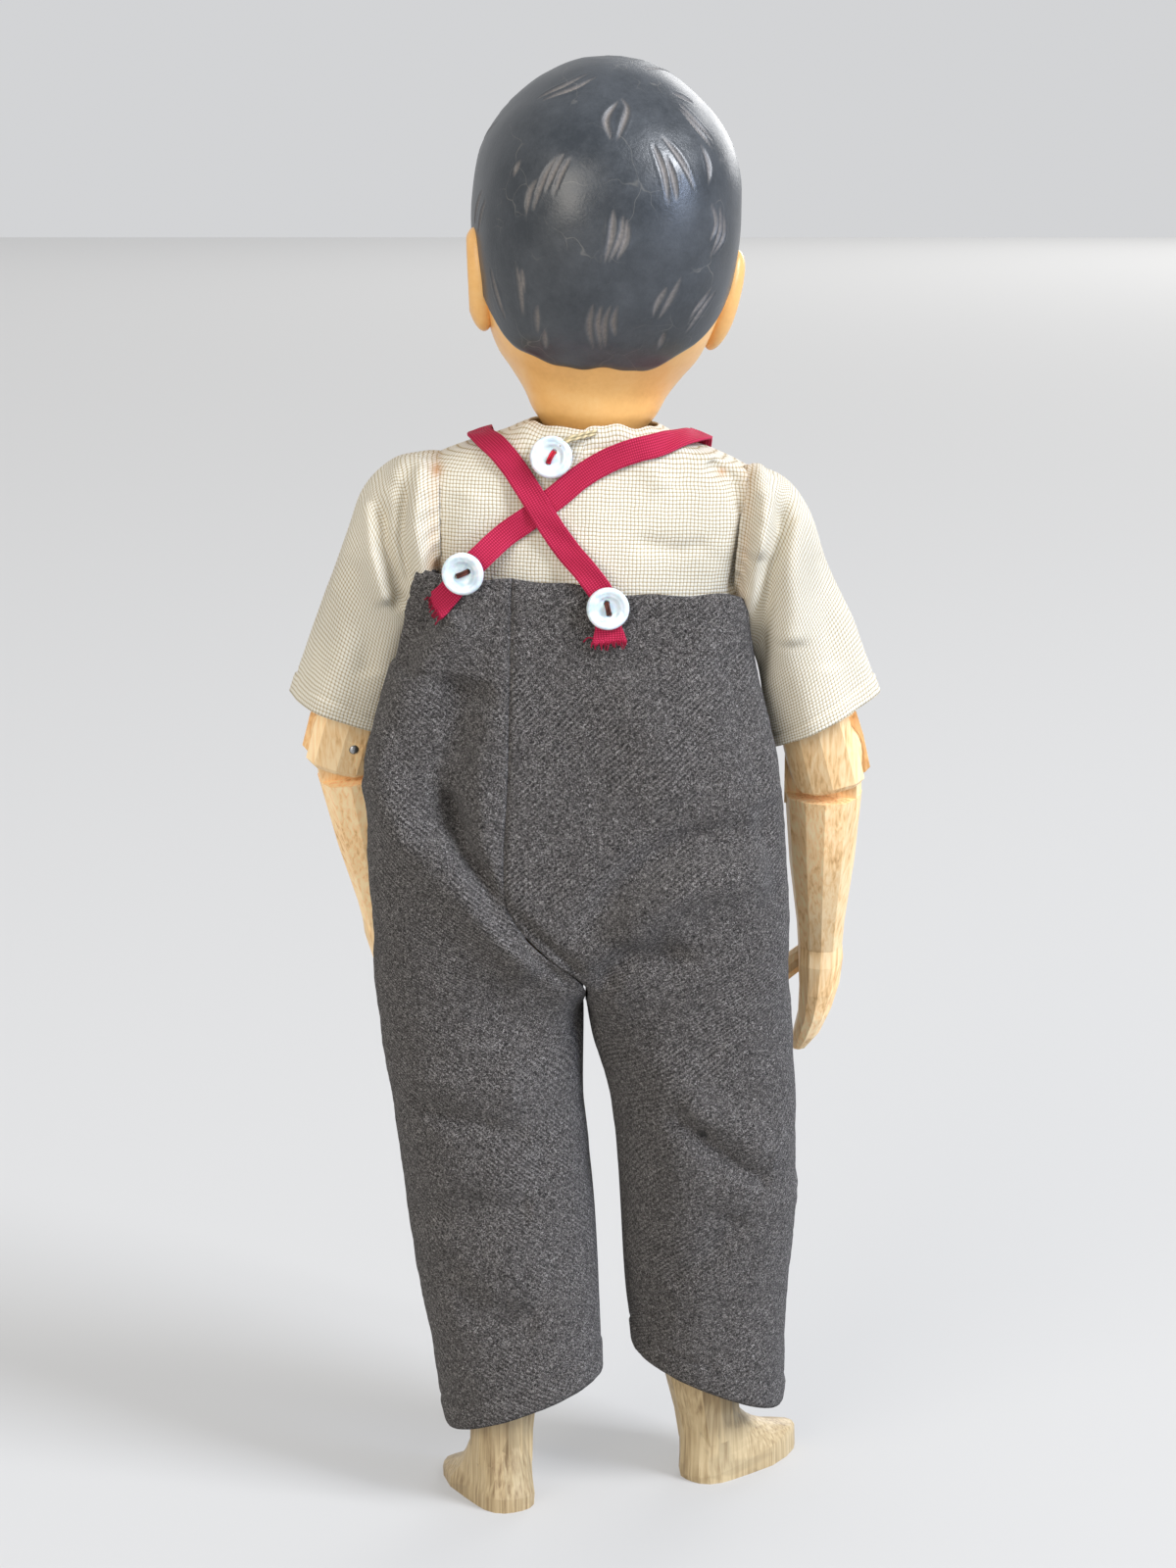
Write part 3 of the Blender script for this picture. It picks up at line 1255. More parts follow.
    def body(self, linen: Material) -> Piece:
        """The body, from below the waistband up to the rolled collar.

        Args:
            linen: its finish.

        Returns:
            The body.
        """
        share = np.linspace(0, 1, self.rows)
        z = (self.hem + (self.collar - self.hem) * (1 - (1 - share) ** 1.25))[:, None]
        half = reading(self.width, z)
        slit = reading(self.slit, z)
        ratio = np.clip(slit / half, -1, 1)
        start = np.arctan2((1 - ratio**self.power) ** (1 / self.power), ratio)
        turn = np.linspace(0, 2 * math.pi, self.columns + 1)[None, :]
        grid = self.surface(start + turn, z + 0 * turn)
        x, y, up = grid[..., 0], grid[..., 1], grid[..., 2]
        out = outwards(grid, -1)
        behind = ease((y - 4) / 6)
        rise = behind * sum(fold.height(x, up) for fold in self.folds)
        rise = rise + 0.3 * ruffle(grid, 11.0, 1.3) + 0.12 * ruffle(grid, 4.0, 8.1)
        # The collar's edge is turned in and stitched, and the armholes pull in at their seams
        rise = rise + 0.35 * bump(up - (self.collar - 1.2), 1.3) - 0.25 * bump(up - (self.collar - 4.2), 0.5)
        rise = rise - 0.3 * bump(np.abs(x) - self.armhole, 0.9) * ease((up - 86) / 5)
        rise = rise - 0.35 * bump(along_path(x, up, ((4.4, 113), (5.6, 104), (6.9, 96.9), (7.4, 84)))[0], 0.35) * behind
        grid = grid + out * rise[..., None]
        # The slit gapes towards the top; its right edge stands a little out over the left one
        open_by = np.clip((up - self.slit_bottom) / (self.collar - self.slit_bottom), 0, 1) ** 0.8
        near_left = bump(turn * 20, 5.0) * open_by
        near_right = bump((2 * math.pi - turn) * 20, 5.0) * open_by
        grid[..., 0] -= 3.3 * near_right
        grid[..., 1] += 0.6 * near_right + 0.2 * near_left
        waver = 0.55 * np.sin(x * 0.33 + 1.9) + 0.35 * np.sin(x * 0.9 + 0.4)
        waver = waver + 0.9 * bump(x - 15, 5) + 0.8 * bump(x + 8, 7)
        grid[..., 2] += waver * ease((up - 117) / 8) * behind - 1.6 * near_left
        quarter = self.columns // 4
        panels = ((0, 0), (quarter, 2 * quarter), (3 * quarter, self.columns))
        made = woven_grid("shirt_body_linen", grid, TRUNK, closed=False, panels=panels)
        self.stain(made, grid)
        self.sew_below_slit(made, z[:, 0])
        for side in Side:
            cut_through(made, (side.value * self.armhole, 0, 100), (side.value, 0, 0), TRUNK)
        made.data.materials.append(linen)
        face_outwards(made, TRUNK @ Vector((0, 0, 95)) * MM)
        thicken(made, self.thickness)
        return made

    def stain(self, made: Piece, grid: Array) -> None:
        """Marks small rust spots on the back, and a faint ochre tide along the seams.

        Args:
            made: the piece.
            grid: its points.
        """
        x, y, z = grid[..., 0], grid[..., 1], grid[..., 2]
        spots = sum(0.55 * bump(np.hypot(x - a, z - b), r) for a, b, r in self.stains)
        seam = 0.3 * bump(np.abs(x) - self.armhole, 1.4) * (z > 84)
        store(made, "stain", np.clip((y > 0) * spots + seam * (0.6 + 0.4 * ruffle(grid, 6.0, 2.2)), 0, 1))

    def sew_below_slit(self, made: Piece, heights: Array) -> None:
        """Joins the two edges of the centre-back seam below the slit.

        Args:
            made: the body.
            heights: of its rows.
        """
        across = self.columns + 1
        with opened(made) as shape:
            pairs = {
                shape.verts[r * across + self.columns]: shape.verts[r * across]
                for r, z in enumerate(heights) if z < self.slit_bottom
            }
            bmesh.ops.weld_verts(shape, targetmap=pairs)

    def sleeve(self, side: Side, linen: Material) -> Piece:
        """One sleeve, from inside the armhole seam down to its turned hem.

        Args:
            side: which sleeve.
            linen: its finish.

        Returns:
            The sleeve.
        """
        s = side.value
        rows, columns = self.sleeve_rows, self.sleeve_columns
        line = bent_line([(*over, *under, deep) for over, under, deep in self.sleeves[side]], rows - 1)
        turn = round_angles(columns)
        x0, z0, x1, z1, deep = (line[:, k][:, None] for k in range(5))
        share = np.linspace(0, 1, rows)[:, None]
        # The head of the sleeve is gathered under the armhole's edge
        tuck = bump(share, 0.016)
        half = np.hypot(x0 - x1, z0 - z1) / 2
        ax, az = (x0 - x1) / (2 * half), (z0 - z1) / (2 * half)
        forward = math.tan(math.radians(self.swing[side])) * np.maximum(0, SHOULDER_HEIGHT - (z0 + z1) / 2)
        x, y = oval(turn + 0 * share, half, deep, deep, 2.2)
        across = (x0 + x1) / 2 - 1.0 * tuck + x * ax
        up = (z0 + z1) / 2 + x * az
        grid = np.stack([s * across, y - forward, up], axis=-1)
        middle = np.stack([s * (x0 + x1) / 2 + 0 * x, -forward + 0 * x, (z0 + z1) / 2 + 0 * x], axis=-1)
        out = unit(grid - middle)
        behind = ease((y - 2) / 6)
        rise = behind * sum(fold.height(grid[..., 0], grid[..., 2]) for fold in self.folds)
        # Soft lengthwise folds all round, and small gathers at the head that run out
        drape = np.sin(turn * 5 + 1.1 * s + 1.5 * share) + 0.6 * np.sin(turn * 9 + 0.8 + 3.0 * share)
        rise = rise + 0.28 * drape * ease(share * 3) + 0.32 * np.sin(turn * 24 + s) * bump(share - 0.04, 0.05)
        rise = rise + 0.3 * ruffle(grid, 10.0, 4.4 + s) - 0.3 * tuck
        rise = rise + 0.4 * ease((share - 0.93) / 0.012) - 0.25 * bump(share - 0.928, 0.006)
        rise = rise + 0.7 * np.sin(turn * 4 + 2.0 + s) * ease((share - 0.6) / 0.4)
        grid = grid + out * rise[..., None]
        made = woven_grid(f"sleeve_{side.word}_linen", grid, TRUNK, closed=True, panels=((0, columns // 4),))
        self.stain(made, grid)
        made.data.materials.append(linen)
        face_outwards(made, TRUNK @ Vector((s * 48, -4, 88)) * MM)
        thicken(made, self.thickness)
        return made

    def build(self, linen: Material) -> list[Piece]:
        """Makes the body and both sleeves, in that order."""
        return [self.body(linen), *[self.sleeve(side, linen) for side in Side]]


# The trousers, of brown grey wool: high at the waist and wide in the leg
@dataclass
class Trousers:
    """Two halves, joined behind and in front by seams; each leg is parted at the thigh for its knee."""

    waist: float = 88.6
    power: float = 3.0
    leg_power: float = 2.2
    columns: int = 190
    trunk_rows: int = 104
    turn_rows: int = 46
    leg_rows: int = 110
    thickness: float = 1.2
    # Between these two heights the trunk's cloth turns into the leg's
    turn_top: float = 8.0
    turn_bottom: float = -24.0
    crotch: float = -12.0
    parting: float = -44.0
    tuck: float = 9.0
    trunk: Sequence[tuple[float, ...]] = (
        (4, -2, 5, 49.2, 27, 20), (20, -1.2, 6, 49.4, 28, 20), (39, -0.6, 6, 48.6, 27.5, 19),
        (58, -0.2, 4, 45.6, 26, 20.5), (74, 0, 1, 42.8, 23, 22), (88.6, 0, 0, 41.8, 22, 21.6),
    )
    legs: dict[Side, Sequence[tuple[float, ...]]] = field(default_factory=lambda: {
        Side.LEFT: (
            (-110.6, 12.1, 7, 18.9, 17, 16.5), (-86, 15, 6, 21.2, 18, 17.5), (-60, 18.1, 3, 22.9, 20, 20),
            (-30, 21.6, 2.4, 23.4, 21.5, 20), (-8.7, 23.2, 3, 23.8, 23, 20), (6, 23.6, 3, 24, 25, 20),
        ),
        Side.RIGHT: (
            (-110.4, -32.9, -7, 18.5, 17, 16), (-84, -32.6, -5, 20.2, 18, 17), (-54, -32.2, -2, 22, 20, 19.6),
            (-30, -29.2, -0.4, 24, 21.5, 19.4), (-8.7, -27.2, 2, 24.7, 23, 19), (6, -26.2, 3, 24.6, 25, 19),
        ),
    })
    hem_slope: dict[Side, float] = field(default_factory=lambda: {Side.LEFT: 0.36, Side.RIGHT: -0.4})
    back_seam: Table = (
        (-12, -2.6), (-5.1, -2.6), (3.1, 6.3), (8.8, 12.2), (15.9, 16.0), (46.2, 15.2), (82.9, 14.4), (92, 14.3),
    )
    front_seam: Table = ((-12, -2.6), (-3, -3.0), (6, -6), (24, -9), (92, -9))
    # The arms as x, y, z from shoulder to finger tips, and the room each needs across and along
    arms: dict[Side, Sequence[tuple[float, ...]]] = field(default_factory=lambda: {
        Side.LEFT: (
            (36.5, 0, 104.5), (52, -10.3, 54.6), (54.9, -12.2, 45.3), (46.7, -26.2, 0.7), (38.2, -34.7, -23.4),
        ),
        Side.RIGHT: (
            (-44.4, 0, 101.4), (-58.2, -8, 50.6), (-60.8, -9.4, 41.1), (-60.3, -20.4, -4.8), (-55.8, -27.7, -30.3),
        ),
    })
    arm_room: Sequence[tuple[float, float]] = ((8, 19), (16, 19.4), (12, 12.4), (8.8, 10), (10.6, 9.6))
    folds: Sequence[Fold] = (
        Fold(((25, 69), (27.5, 54), (31, 42), (29, 30)), -4.0, 6.6),
        Fold(((31.5, 43), (25.8, 29.2), (17, 15.1), (9.2, 7), (-1.6, -3.2)), -4.6, 2.6),
        Fold(((46.1, 47), (37.5, 31.2), (25.8, 19.1), (16.1, 9), (6.3, -1.2)), 3.5, 5.8),
        Fold(((24.4, 84), (34.1, 71.9), (42.1, 57.1), (46.1, 44)), 2.6, 4.8),
        Fold(((30.2, 84), (36, 75.8), (40, 69)), -2.6, 3.7),
        Fold(((19.7, 62), (21, 45.2), (18.9, 26)), 1.3, 4.4),
        Fold(((-2, 8), (-11, 19), (-20.3, 27), (-28.1, 30.2), (-39.9, 30.9), (-50, 31.4)), -3.6, 4.4, 0.3),
        Fold(((-9, 5), (-16, 14), (-28.1, 21.5), (-47, 23)), 3.2, 6.4, 0.3),
        Fold(((-5, -7), (-8.5, -1), (-13, 2.6), (-20.4, 4), (-28, 2)), -3.0, 3.2, 0.3),
        Fold(((-14, 70), (-18, 52), (-22, 38)), 1.6, 8.0),
        Fold(((-36, 74), (-40, 56), (-45, 40)), -1.6, 4.6),
        Fold(((-45.1, 39.2), (-47.3, 25.2), (-48.3, 14)), -1.9, 3.0),
        Fold(((-23.4, -39.8), (-35.7, -46.2), (-48, -50.1)), -2.1, 3.0),
        Fold(((-26, -33), (-38, -38), (-50, -42)), 1.4, 3.9),
        Fold(((40.4, -65.5), (25.6, -60.3), (9.6, -59)), -1.9, 3.4),
        Fold(((38.9, -38.6), (25.5, -40.5), (10.3, -42.4)), -1.4, 2.8),
        Fold(((40, -30), (26, -31), (12, -30)), 1.1, 4.6),
        Fold(((12, -22), (16, -50), (14, -84)), 1.3, 6.9),
        Fold(((-24, -20), (-27, -60), (-28, -90)), 1.4, 6.9),
        Fold(((-40, -62), (-34, -72), (-22, -80)), -1.1, 4.0),
        Fold(((32, -74), (22, -84), (8, -88)), -1.1, 4.0),
    )
    band_line: Path = ((42, 86), (36.2, 85.3), (27.5, 84.3), (14.4, 82.4), (-0.7, 82.1), (-12.4, 83.1), (-39.6, 78.9))
    moth_hole: tuple[float, float] = (-30.7, -41.7)

    def back_rise(self, x: Array, z: Array) -> Array:
        """All the folds seen from behind, added up."""
        return sum(fold.height(x, z) for fold in self.folds)

    def surface_spot(self, x: float, z: float, face: str) -> Vector:
        """A place on the outside of the waist, front or back, in the upright frame.

        Args:
            x: across.
            z: height.
            face: waist_front or waist_back.

        Returns:
            The place.
        """
        x0, y0, half, front, back = oval_row(self.trunk, np.array(min(z, self.waist)))
        share = (1 - (abs(x - x0) / half) ** self.power) ** (1 / self.power)
        if face == "waist_front":
            return Vector((x, float(y0 - front * share), z))
        rise = self.back_rise(np.array([x]), np.array([z]))[0]
        return Vector((x, float(y0 + back * share + rise), z))

    def seam_angle(self, z: Array, behind: bool) -> Array:
        """Where a seam lies round the trunk's oval.

        Args:
            z: height.
            behind: True for the back seam.

        Returns:
            The angle at each height.
        """
        x = reading(self.back_seam if behind else self.front_seam, z)
        u = np.clip((x - column(self.trunk, 1, z)) / column(self.trunk, 3, z), -1, 1)
        v = (1 - np.abs(u) ** self.power) ** (1 / self.power)
        return np.arctan2(v if behind else -v, u)

    def trunk_surface(self, side: Side, s: Array, z: Array) -> Array:
        """Points of the trunk's cloth.

        Args:
            side: which half.
            s: share of the way from the back seam, round the side, to the front seam.
            z: height.

        Returns:
            The points.
        """
        back, front = self.seam_angle(z, True), self.seam_angle(z, False)
        if side is Side.LEFT:
            angle = np.where(s < 0.5, back * (1 - 2 * s), front * (2 * s - 1))
        else:
            angle = np.where(s < 0.5, mix(back, math.pi, 2 * s), mix(math.pi, 2 * math.pi + front, 2 * s - 1))
        x0, y0, half, *reach = oval_row(self.trunk, z)
        x, y = oval(angle, half, *reach, self.power)
        return np.stack([x + x0, y + y0, z + 0 * x], axis=-1)

    def leg_surface(self, side: Side, s: Array, z: Array) -> Array:
        """Points of the leg's cloth.

        Args:
            side: which leg.
            s: share of the way from the inner line, round the outside, and back to it.
            z: height.

        Returns:
            The points.
        """
        angle = math.pi * (1 - 2 * s) if side is Side.LEFT else 2 * math.pi * s
        x0, y0, half, *reach = oval_row(self.legs[side], z)
        x, y = oval(angle + 0 * z, half, *reach, self.leg_power)
        return np.stack([x + x0, y + y0, z + 0 * x], axis=-1)

    def grid(self, side: Side) -> Array:
        """All the points of one half, rows down from the waist and columns round from the back seam.

        Args:
            side: which half.

        Returns:
            Rows, columns and x, y, z.
        """
        s = np.linspace(0, 1, self.columns + 1)[None, :]
        top = np.linspace(self.waist, self.turn_top, self.trunk_rows)[:, None]
        upper = self.trunk_surface(side, s + 0 * top, top + 0 * s)
        rise = upper[..., 0] * 0.09 - 6 * bump(upper[..., 1] + 3, 10) * ease((np.abs(upper[..., 0]) - 20) / 10)
        upper[..., 2] += rise * ease((top - 48) / 40)
        v = np.linspace(0, 1, self.turn_rows + 1)[1:, None]
        z = mix(self.turn_top, self.turn_bottom, v)
        flat = z + 0 * s
        turning = mix(
            self.trunk_surface(side, s + 0 * z, np.maximum(flat, 2)),
            self.leg_surface(side, s + 0 * z, np.minimum(flat, 6)),
            ease(v)[..., None] + 0 * flat[..., None],
        )
        turning[..., 2] = flat
        low = np.linspace(self.turn_bottom, self.legs[side][0][0], self.leg_rows + 1)[1:, None]
        lower = self.leg_surface(side, s + 0 * low, low + 0 * s)
        x0 = column(self.legs[side], 1, low)
        near_hem = ease((low[0] - low - 60) / (low[0] - low[-1] - 60))
        lower[..., 2] += -(lower[..., 0] - x0) * self.hem_slope[side] * near_hem
        # The seam runs down and under between the legs
        whole = np.concatenate([upper, turning, lower])
        tau = v[:, 0] * math.pi / 2
        height = mix(self.turn_top, self.crotch, np.sin(tau))
        for edge, seam in ((0, self.back_seam), (-1, self.front_seam)):
            start = upper[-1, edge]
            y = mix(2.0, start[1], np.cos(tau))
            path = np.stack([reading(seam, height) + 0.25 * side.value, y, height], axis=-1)
            pull = np.zeros((whole.shape[0], 3))
            pull[self.trunk_rows : self.trunk_rows + self.turn_rows] = path - turning[:, edge]
            fade = 1 - ease((low[0] - low[:, 0]) / 12)
            pull[self.trunk_rows + self.turn_rows :] = pull[self.trunk_rows + self.turn_rows - 1] * fade[:, None]
            share = s[0] if edge == 0 else 1 - s[0]
            whole += (1 - ease(share / 0.17))[None, :, None] * pull[:, None, :]
        return self.shape(whole, side)

    def shape(self, grid: Array, side: Side) -> Array:
        """Presses folds, seams and stitching into the cloth, and room for the arms.

        Args:
            grid: the plain half.
            side: which half.

        Returns:
            The half as it hangs.
        """
        x, y, z = grid[..., 0], grid[..., 1], grid[..., 2]
        behind = ease((y - 6) / 8)
        rise = behind * self.back_rise(x, z)
        crumple = 0.55 * ruffle(grid, 14.0, 7.7) + 0.25 * ruffle(grid, 4.5, 2.9) + 0.1 * ruffle(grid, 1.3, 5.1)
        # In front the cloth has folds of its own from hip to crotch
        ahead = ease((-y - 4) / 8)
        rise = rise + ahead * (
            1.2 * bump(along_path(np.abs(x), z, ((40, 48), (26, 16), (8, 0)))[0], 4)
            - 1.0 * bump(along_path(np.abs(x), z, ((44, 30), (30, 6), (12, -6)))[0], 2.4)
        )
        to_seam = from_ends(grid)
        # Beside the seams both halves keep together, most of all under the crotch
        held = mix(mix(0.0, 0.35, ease((z - 2) / 8)), 1, ease(to_seam / 5))
        rise = (rise + crumple) * held
        over_crotch = ease((z - 2) / 6)
        rise = rise - 0.7 * bump(to_seam, 0.9) * over_crotch
        band = along_path(x, z, self.band_line)[0]
        front_band = np.abs(z - (82.5 + x * 0.09) + 5 * bump(y + 3, 10) * ease((np.abs(x) - 20) / 10))
        band = np.where(y > 4, band, front_band)
        rise = rise - 0.55 * bump(band, 0.55)
        leg_x = column(self.legs[side], 1, z)
        centre_x = mix(0.0, leg_x, ease((-z - 4) / 26))
        out = unit(np.stack([x - centre_x, 1.4 * (y - 2), 0 * x], axis=-1), 1e-9)
        square = (ease(to_seam / 8) * ease((np.abs(y) + np.abs(x - centre_x) - 6) / 8))[..., None]
        out = mix(out, outwards(grid, side.value), square)
        grid = grid + out * rise[..., None]
        # The hem is turned up: a little thicker, above its edge a line of stitches
        from_hem = spans(grid[::-1], 0)[::-1]
        turned = 0.35 * ease((6.5 - from_hem) / 0.6) - 0.35 * bump(from_hem - 7, 0.5) - 0.5 * bump(from_hem, 0.7)
        x, top = grid[..., 0], ease((grid[..., 2] - 66) / 22)
        grid[..., 2] += top * (0.7 * np.sin(x * 0.16 + 0.6) + 0.4 * np.sin(x * 0.37 + 2) + 0.8) * (grid[..., 1] > 0)
        from_top = spans(grid, 0)
        turned = turned - 0.6 * bump(from_top, 0.7)
        grid = grid + out * turned[..., None]
        return self.give_way(grid, side)

    def give_way(self, grid: Array, side: Side) -> Array:
        """Moves the cloth in where an arm lies against it.

        Args:
            grid: the half with its folds.
            side: which half.

        Returns:
            The half, clear of the arm.
        """
        line = self.arms[side]
        x, y, z = (grid[..., k].copy() for k in range(3))
        for (a, ra), (b, rb) in zip(zip(line, self.arm_room), zip(line[1:], self.arm_room[1:])):
            here = (z <= a[2]) & (z > b[2])
            t = (z - a[2]) / (b[2] - a[2])
            off = np.abs(y - mix(a[1], b[1], t)) / np.abs(mix(ra[1], rb[1], t))
            room = mix(ra[0], rb[0], t) * np.clip(1 - off**2.4, 0, 1) ** (1 / 2.4)
            limit = np.abs(mix(a[0], b[0], t)) - room
            x = np.where(here & (off < 1), np.sign(x) * np.minimum(np.abs(x), limit), x)
        grid = grid.copy()
        grid[..., 0] = x
        return grid

    def parting_height(self, side: Side, x: Array) -> Array:
        """Height where a leg's upper and lower piece meet, along the fold that is there.

        Args:
            side: which leg.
            x: across.

        Returns:
            The height at each x.
        """
        if side is Side.LEFT:
            return self.parting + 3.4 + 0.15 * (x - 26)
        return self.parting - 0.6 + 0.42 * (x + 33)

    def piece(self, name: str, grid: Array, rows: slice, side: Side, wool: Material,
              cloth: Array | None = None) -> Piece:
        """Makes part of a half from some of its rows.

        Args:
            name: of the piece.
            grid: the whole half.
            rows: the rows to make.
            side: which half.
            wool: its finish.
            cloth: share of the thickness in each row, or None for all of it.

        Returns:
            The piece.
        """
        part = grid[rows]
        made = woven_grid(name, part, UPRIGHT, closed=False, panels=((0, self.columns // 4),))
        hole = np.hypot(part[..., 0] - self.moth_hole[0], part[..., 2] - self.moth_hole[1])
        store(made, "moth_hole", ease((1.5 - hole) / 0.9) * (part[..., 1] > 0))
        store(made, "to_seam", from_ends(part))
        if cloth is not None:
            store(made, "cloth", cloth[:, None] + 0 * hole)
        across = self.columns + 1
        with opened(made) as shape:
            # Sharp at the parting, so that the cloth's thin rim doesn't darken the row above it
            edge = 0 if cloth is None else (part.shape[0] - 1) * across
            for c in range(edge, edge + self.columns):
                shape.edges.get((shape.verts[c], shape.verts[c + 1])).smooth = False
            pairs = {
                shape.verts[r * across + self.columns]: shape.verts[r * across]
                for r in range(part.shape[0]) if np.linalg.norm(part[r, 0] - part[r, -1]) < 0.9
            }
            bmesh.ops.weld_verts(shape, targetmap=pairs)
        made.data.materials.append(wool)
        middle = (0, 0, 40) if rows.start in (None, 0) else (side.value * 22 - 4, 2, -80)
        face_outwards(made, UPRIGHT @ Vector(middle) * MM)
        thicken(made, self.thickness)
        if cloth is not None:
            group = made.vertex_groups.new(name="cloth")
            for index, share in enumerate(made.data.attributes["cloth"].data):
                group.add([index], share.value, "REPLACE")
            made.modifiers["thickness"].vertex_group = group.name
        return made

    def build(self, wool: Material) -> dict[Side, tuple[Piece, Piece]]:
        """Makes each half as its upper and its lower piece.

        Args:
            wool: finish of the cloth.

        Returns:
            For each side, the upper piece and the lower piece.
        """
        made = {}
        for side in Side:
            grid = self.grid(side)
            first = self.trunk_rows + self.turn_rows
            # Rows near the parting are tilted to follow its fold
            z = grid[..., 2]
            leg_rows = np.clip((np.arange(grid.shape[0]) - first + 16) / 16, 0, 1)
            row_height = z.mean(axis=1)
            split = int(np.argmin(np.abs(row_height - self.parting)))
            tuck = int(np.argmin(np.abs(row_height - self.parting - self.tuck)))
            lean = self.parting_height(side, grid[..., 0]) - self.parting
            grid[..., 2] += lean * bump(z - self.parting, 16) * leg_rows[:, None]
            # The upper piece thins out over the lower one, which goes that much deeper under it
            above = np.clip((split - np.arange(grid.shape[0])) / (split - tuck), 0, 1)
            rows = slice(0, split + 1)
            upper = self.piece(f"trousers_{side.word}_upper", grid, rows, side, wool, np.maximum(above, 0.08)[rows])
            inner = grid.copy()
            x0 = column(self.legs[side], 1, z)
            inward = unit(np.stack([grid[..., 0] - x0, grid[..., 1] - 2, 0 * z], axis=-1))
            inner -= inward * mix(0.12, 1.5, above)[:, None, None] * (np.arange(grid.shape[0]) <= split)[:, None, None]
            lower = self.piece(f"trousers_{side.word}_lower", inner, slice(tuck, None), side, wool)
            made[side] = (upper, lower)
        return made


# Braces, buttons and the loop at the neck
@dataclass
class Braces:
    """Two crimson tapes, each from a front button over a shoulder, across the back, to a button there."""

    shirt: Shirt
    trousers: Trousers
    width: float = 5.6
    thickness: float = 0.6
    steps: int = 190
    points_across: int = 15
    fringe_threads: int = 15
    thread_radius: float = 0.17
    # Stations: face, across, up (or along, on top), lift off the cloth
    paths: dict[Side, Sequence[tuple]] = field(default_factory=lambda: {
        Side.LEFT: (
            ("waist_front", 18, 76, 0.6), ("waist_front", 18.2, 83, 0.7), ("waist_front", 18.4, 91, 0.8),
            ("front", 21.8, 98, 0.8), ("front", 23.4, 106, 0.6), ("front", 24.6, 113, 0.7), ("top", 25.6, -7, 0.9),
            ("top", 26, 0, 0.9), ("top", 25, 6, 0.9), ("back", 21.3, 118.7, 0.8), ("back", 17.4, 114.8, 0.6),
            ("back", 13.6, 109.5, 0.9), ("back", 9.8, 104, 1.3), ("back", 5, 97.6, 1.0),
            ("waist_back", -3.6, 92.4, 0.8), ("waist_back", -7.6, 86, 0.7), ("waist_back", -8.2, 80, 0.6),
            ("waist_back", -8.4, 76.6, 0.9),
        ),
        Side.RIGHT: (
            ("waist_front", -28, 75, 0.6), ("waist_front", -28, 82, 0.7), ("waist_front", -28, 90, 0.8),
            ("front", -25.6, 98, 0.8), ("front", -25, 106, 0.6), ("front", -24.6, 113, 0.9), ("top", -24.6, -7, 1.4),
            ("top", -24, 0, 1.6), ("top", -20.6, 7, 1.2), ("back", -14.4, 121, 1.0), ("back", -8.9, 120, 0.9),
            ("back", -3.3, 117.6, 0.7), ("back", 2.3, 114, 0.4), ("back", 7.9, 109.2, 0.4), ("back", 13.4, 104.6, 0.5),
            ("back", 19, 100.4, 0.8), ("waist_back", 20.6, 96.4, 0.6), ("waist_back", 24.6, 92.4, 0.7),
            ("waist_back", 27.4, 88.4, 0.6), ("waist_back", 30.8, 84, 0.9),
        ),
    })
    # How much the cut end slants, and how much it spreads
    end_slant: dict[Side, float] = field(default_factory=lambda: {Side.LEFT: 0.0, Side.RIGHT: 0.2})
    end_spread: dict[Side, float] = field(default_factory=lambda: {Side.LEFT: 0.42, Side.RIGHT: 0.3})

    def spot(self, face: str, x: float, other: float, lift: float) -> tuple[Vector, Vector]:
        """A place lifted off the shirt or the waistband.

        Args:
            face: waist_front, waist_back, back, front or top.
            x: across.
            other: up, or along on top of the shoulder.
            lift: how far off the cloth.

        Returns:
            The place and the outward normal, in the trunk's frame.
        """
        if face.startswith("waist"):
            at = self.trousers.surface_spot(x, other, face)
            run = self.trousers.surface_spot(x + 0.5, other, face) - self.trousers.surface_spot(x - 0.5, other, face)
            out = Vector((run.y, -run.x, 0)).normalized()
            if face == "waist_back":
                out.negate()
            turn = Matrix.Rotation(TRUNK_LEAN, 3, "Y")
            at, out = turn @ at, turn @ out
        else:
            at, out = self.shirt.spot(face, x, other)
        return at + out * lift, out

    def tape(self, side: Side, cotton: Material) -> Piece:
        """One tape, a little hollow across, with rounded selvedges and a loose cut end.

        Args:
            side: the shoulder that it crosses.
            cotton: its finish.

        Returns:
            The tape.
        """
        stations = [self.spot(*row) for row in self.paths[side]]
        line = bent_line([(*at, *out) for at, out in stations], self.steps)
        at, out = line[:, :3], line[:, 3:]
        run = unit(np.gradient(at, axis=0))
        across = unit(np.cross(run, out))
        up = np.cross(across, run)
        far = spans(at[:, None], 0)[:, 0]
        to_end = far[-1] - far
        spread = 1 + self.end_spread[side] * bump(to_end, 3.2)
        share = np.linspace(-1, 1, self.points_across)[None, :]
        flat = share * (self.width / 2) * spread[:, None]
        cupped = 0.22 * share**2 + 0.12 * np.sin(share * 3 + far[:, None] * 0.5) - 0.1 * np.abs(share) ** 8
        slant = self.end_slant[side] * (share + 1) * bump(to_end, 2.0)[:, None] * 1.8
        ragged = 0.5 * np.sin(share * 19) * bump(to_end, 0.8)[:, None]
        top = at[:, None] + across[:, None] * flat[..., None] + up[:, None] * (cupped + self.thickness)[..., None]
        top = top + run[:, None] * (ragged - slant)[..., None]
        made = woven_grid(f"brace_{side.word}_tape", top, TRUNK, closed=False, panels=((0, self.points_across // 2),))
        made.data.materials.append(cotton)
        face_outwards(made, UPRIGHT @ Vector((0, 0, 95)) * MM)
        thicken(made, self.thickness)
        return made

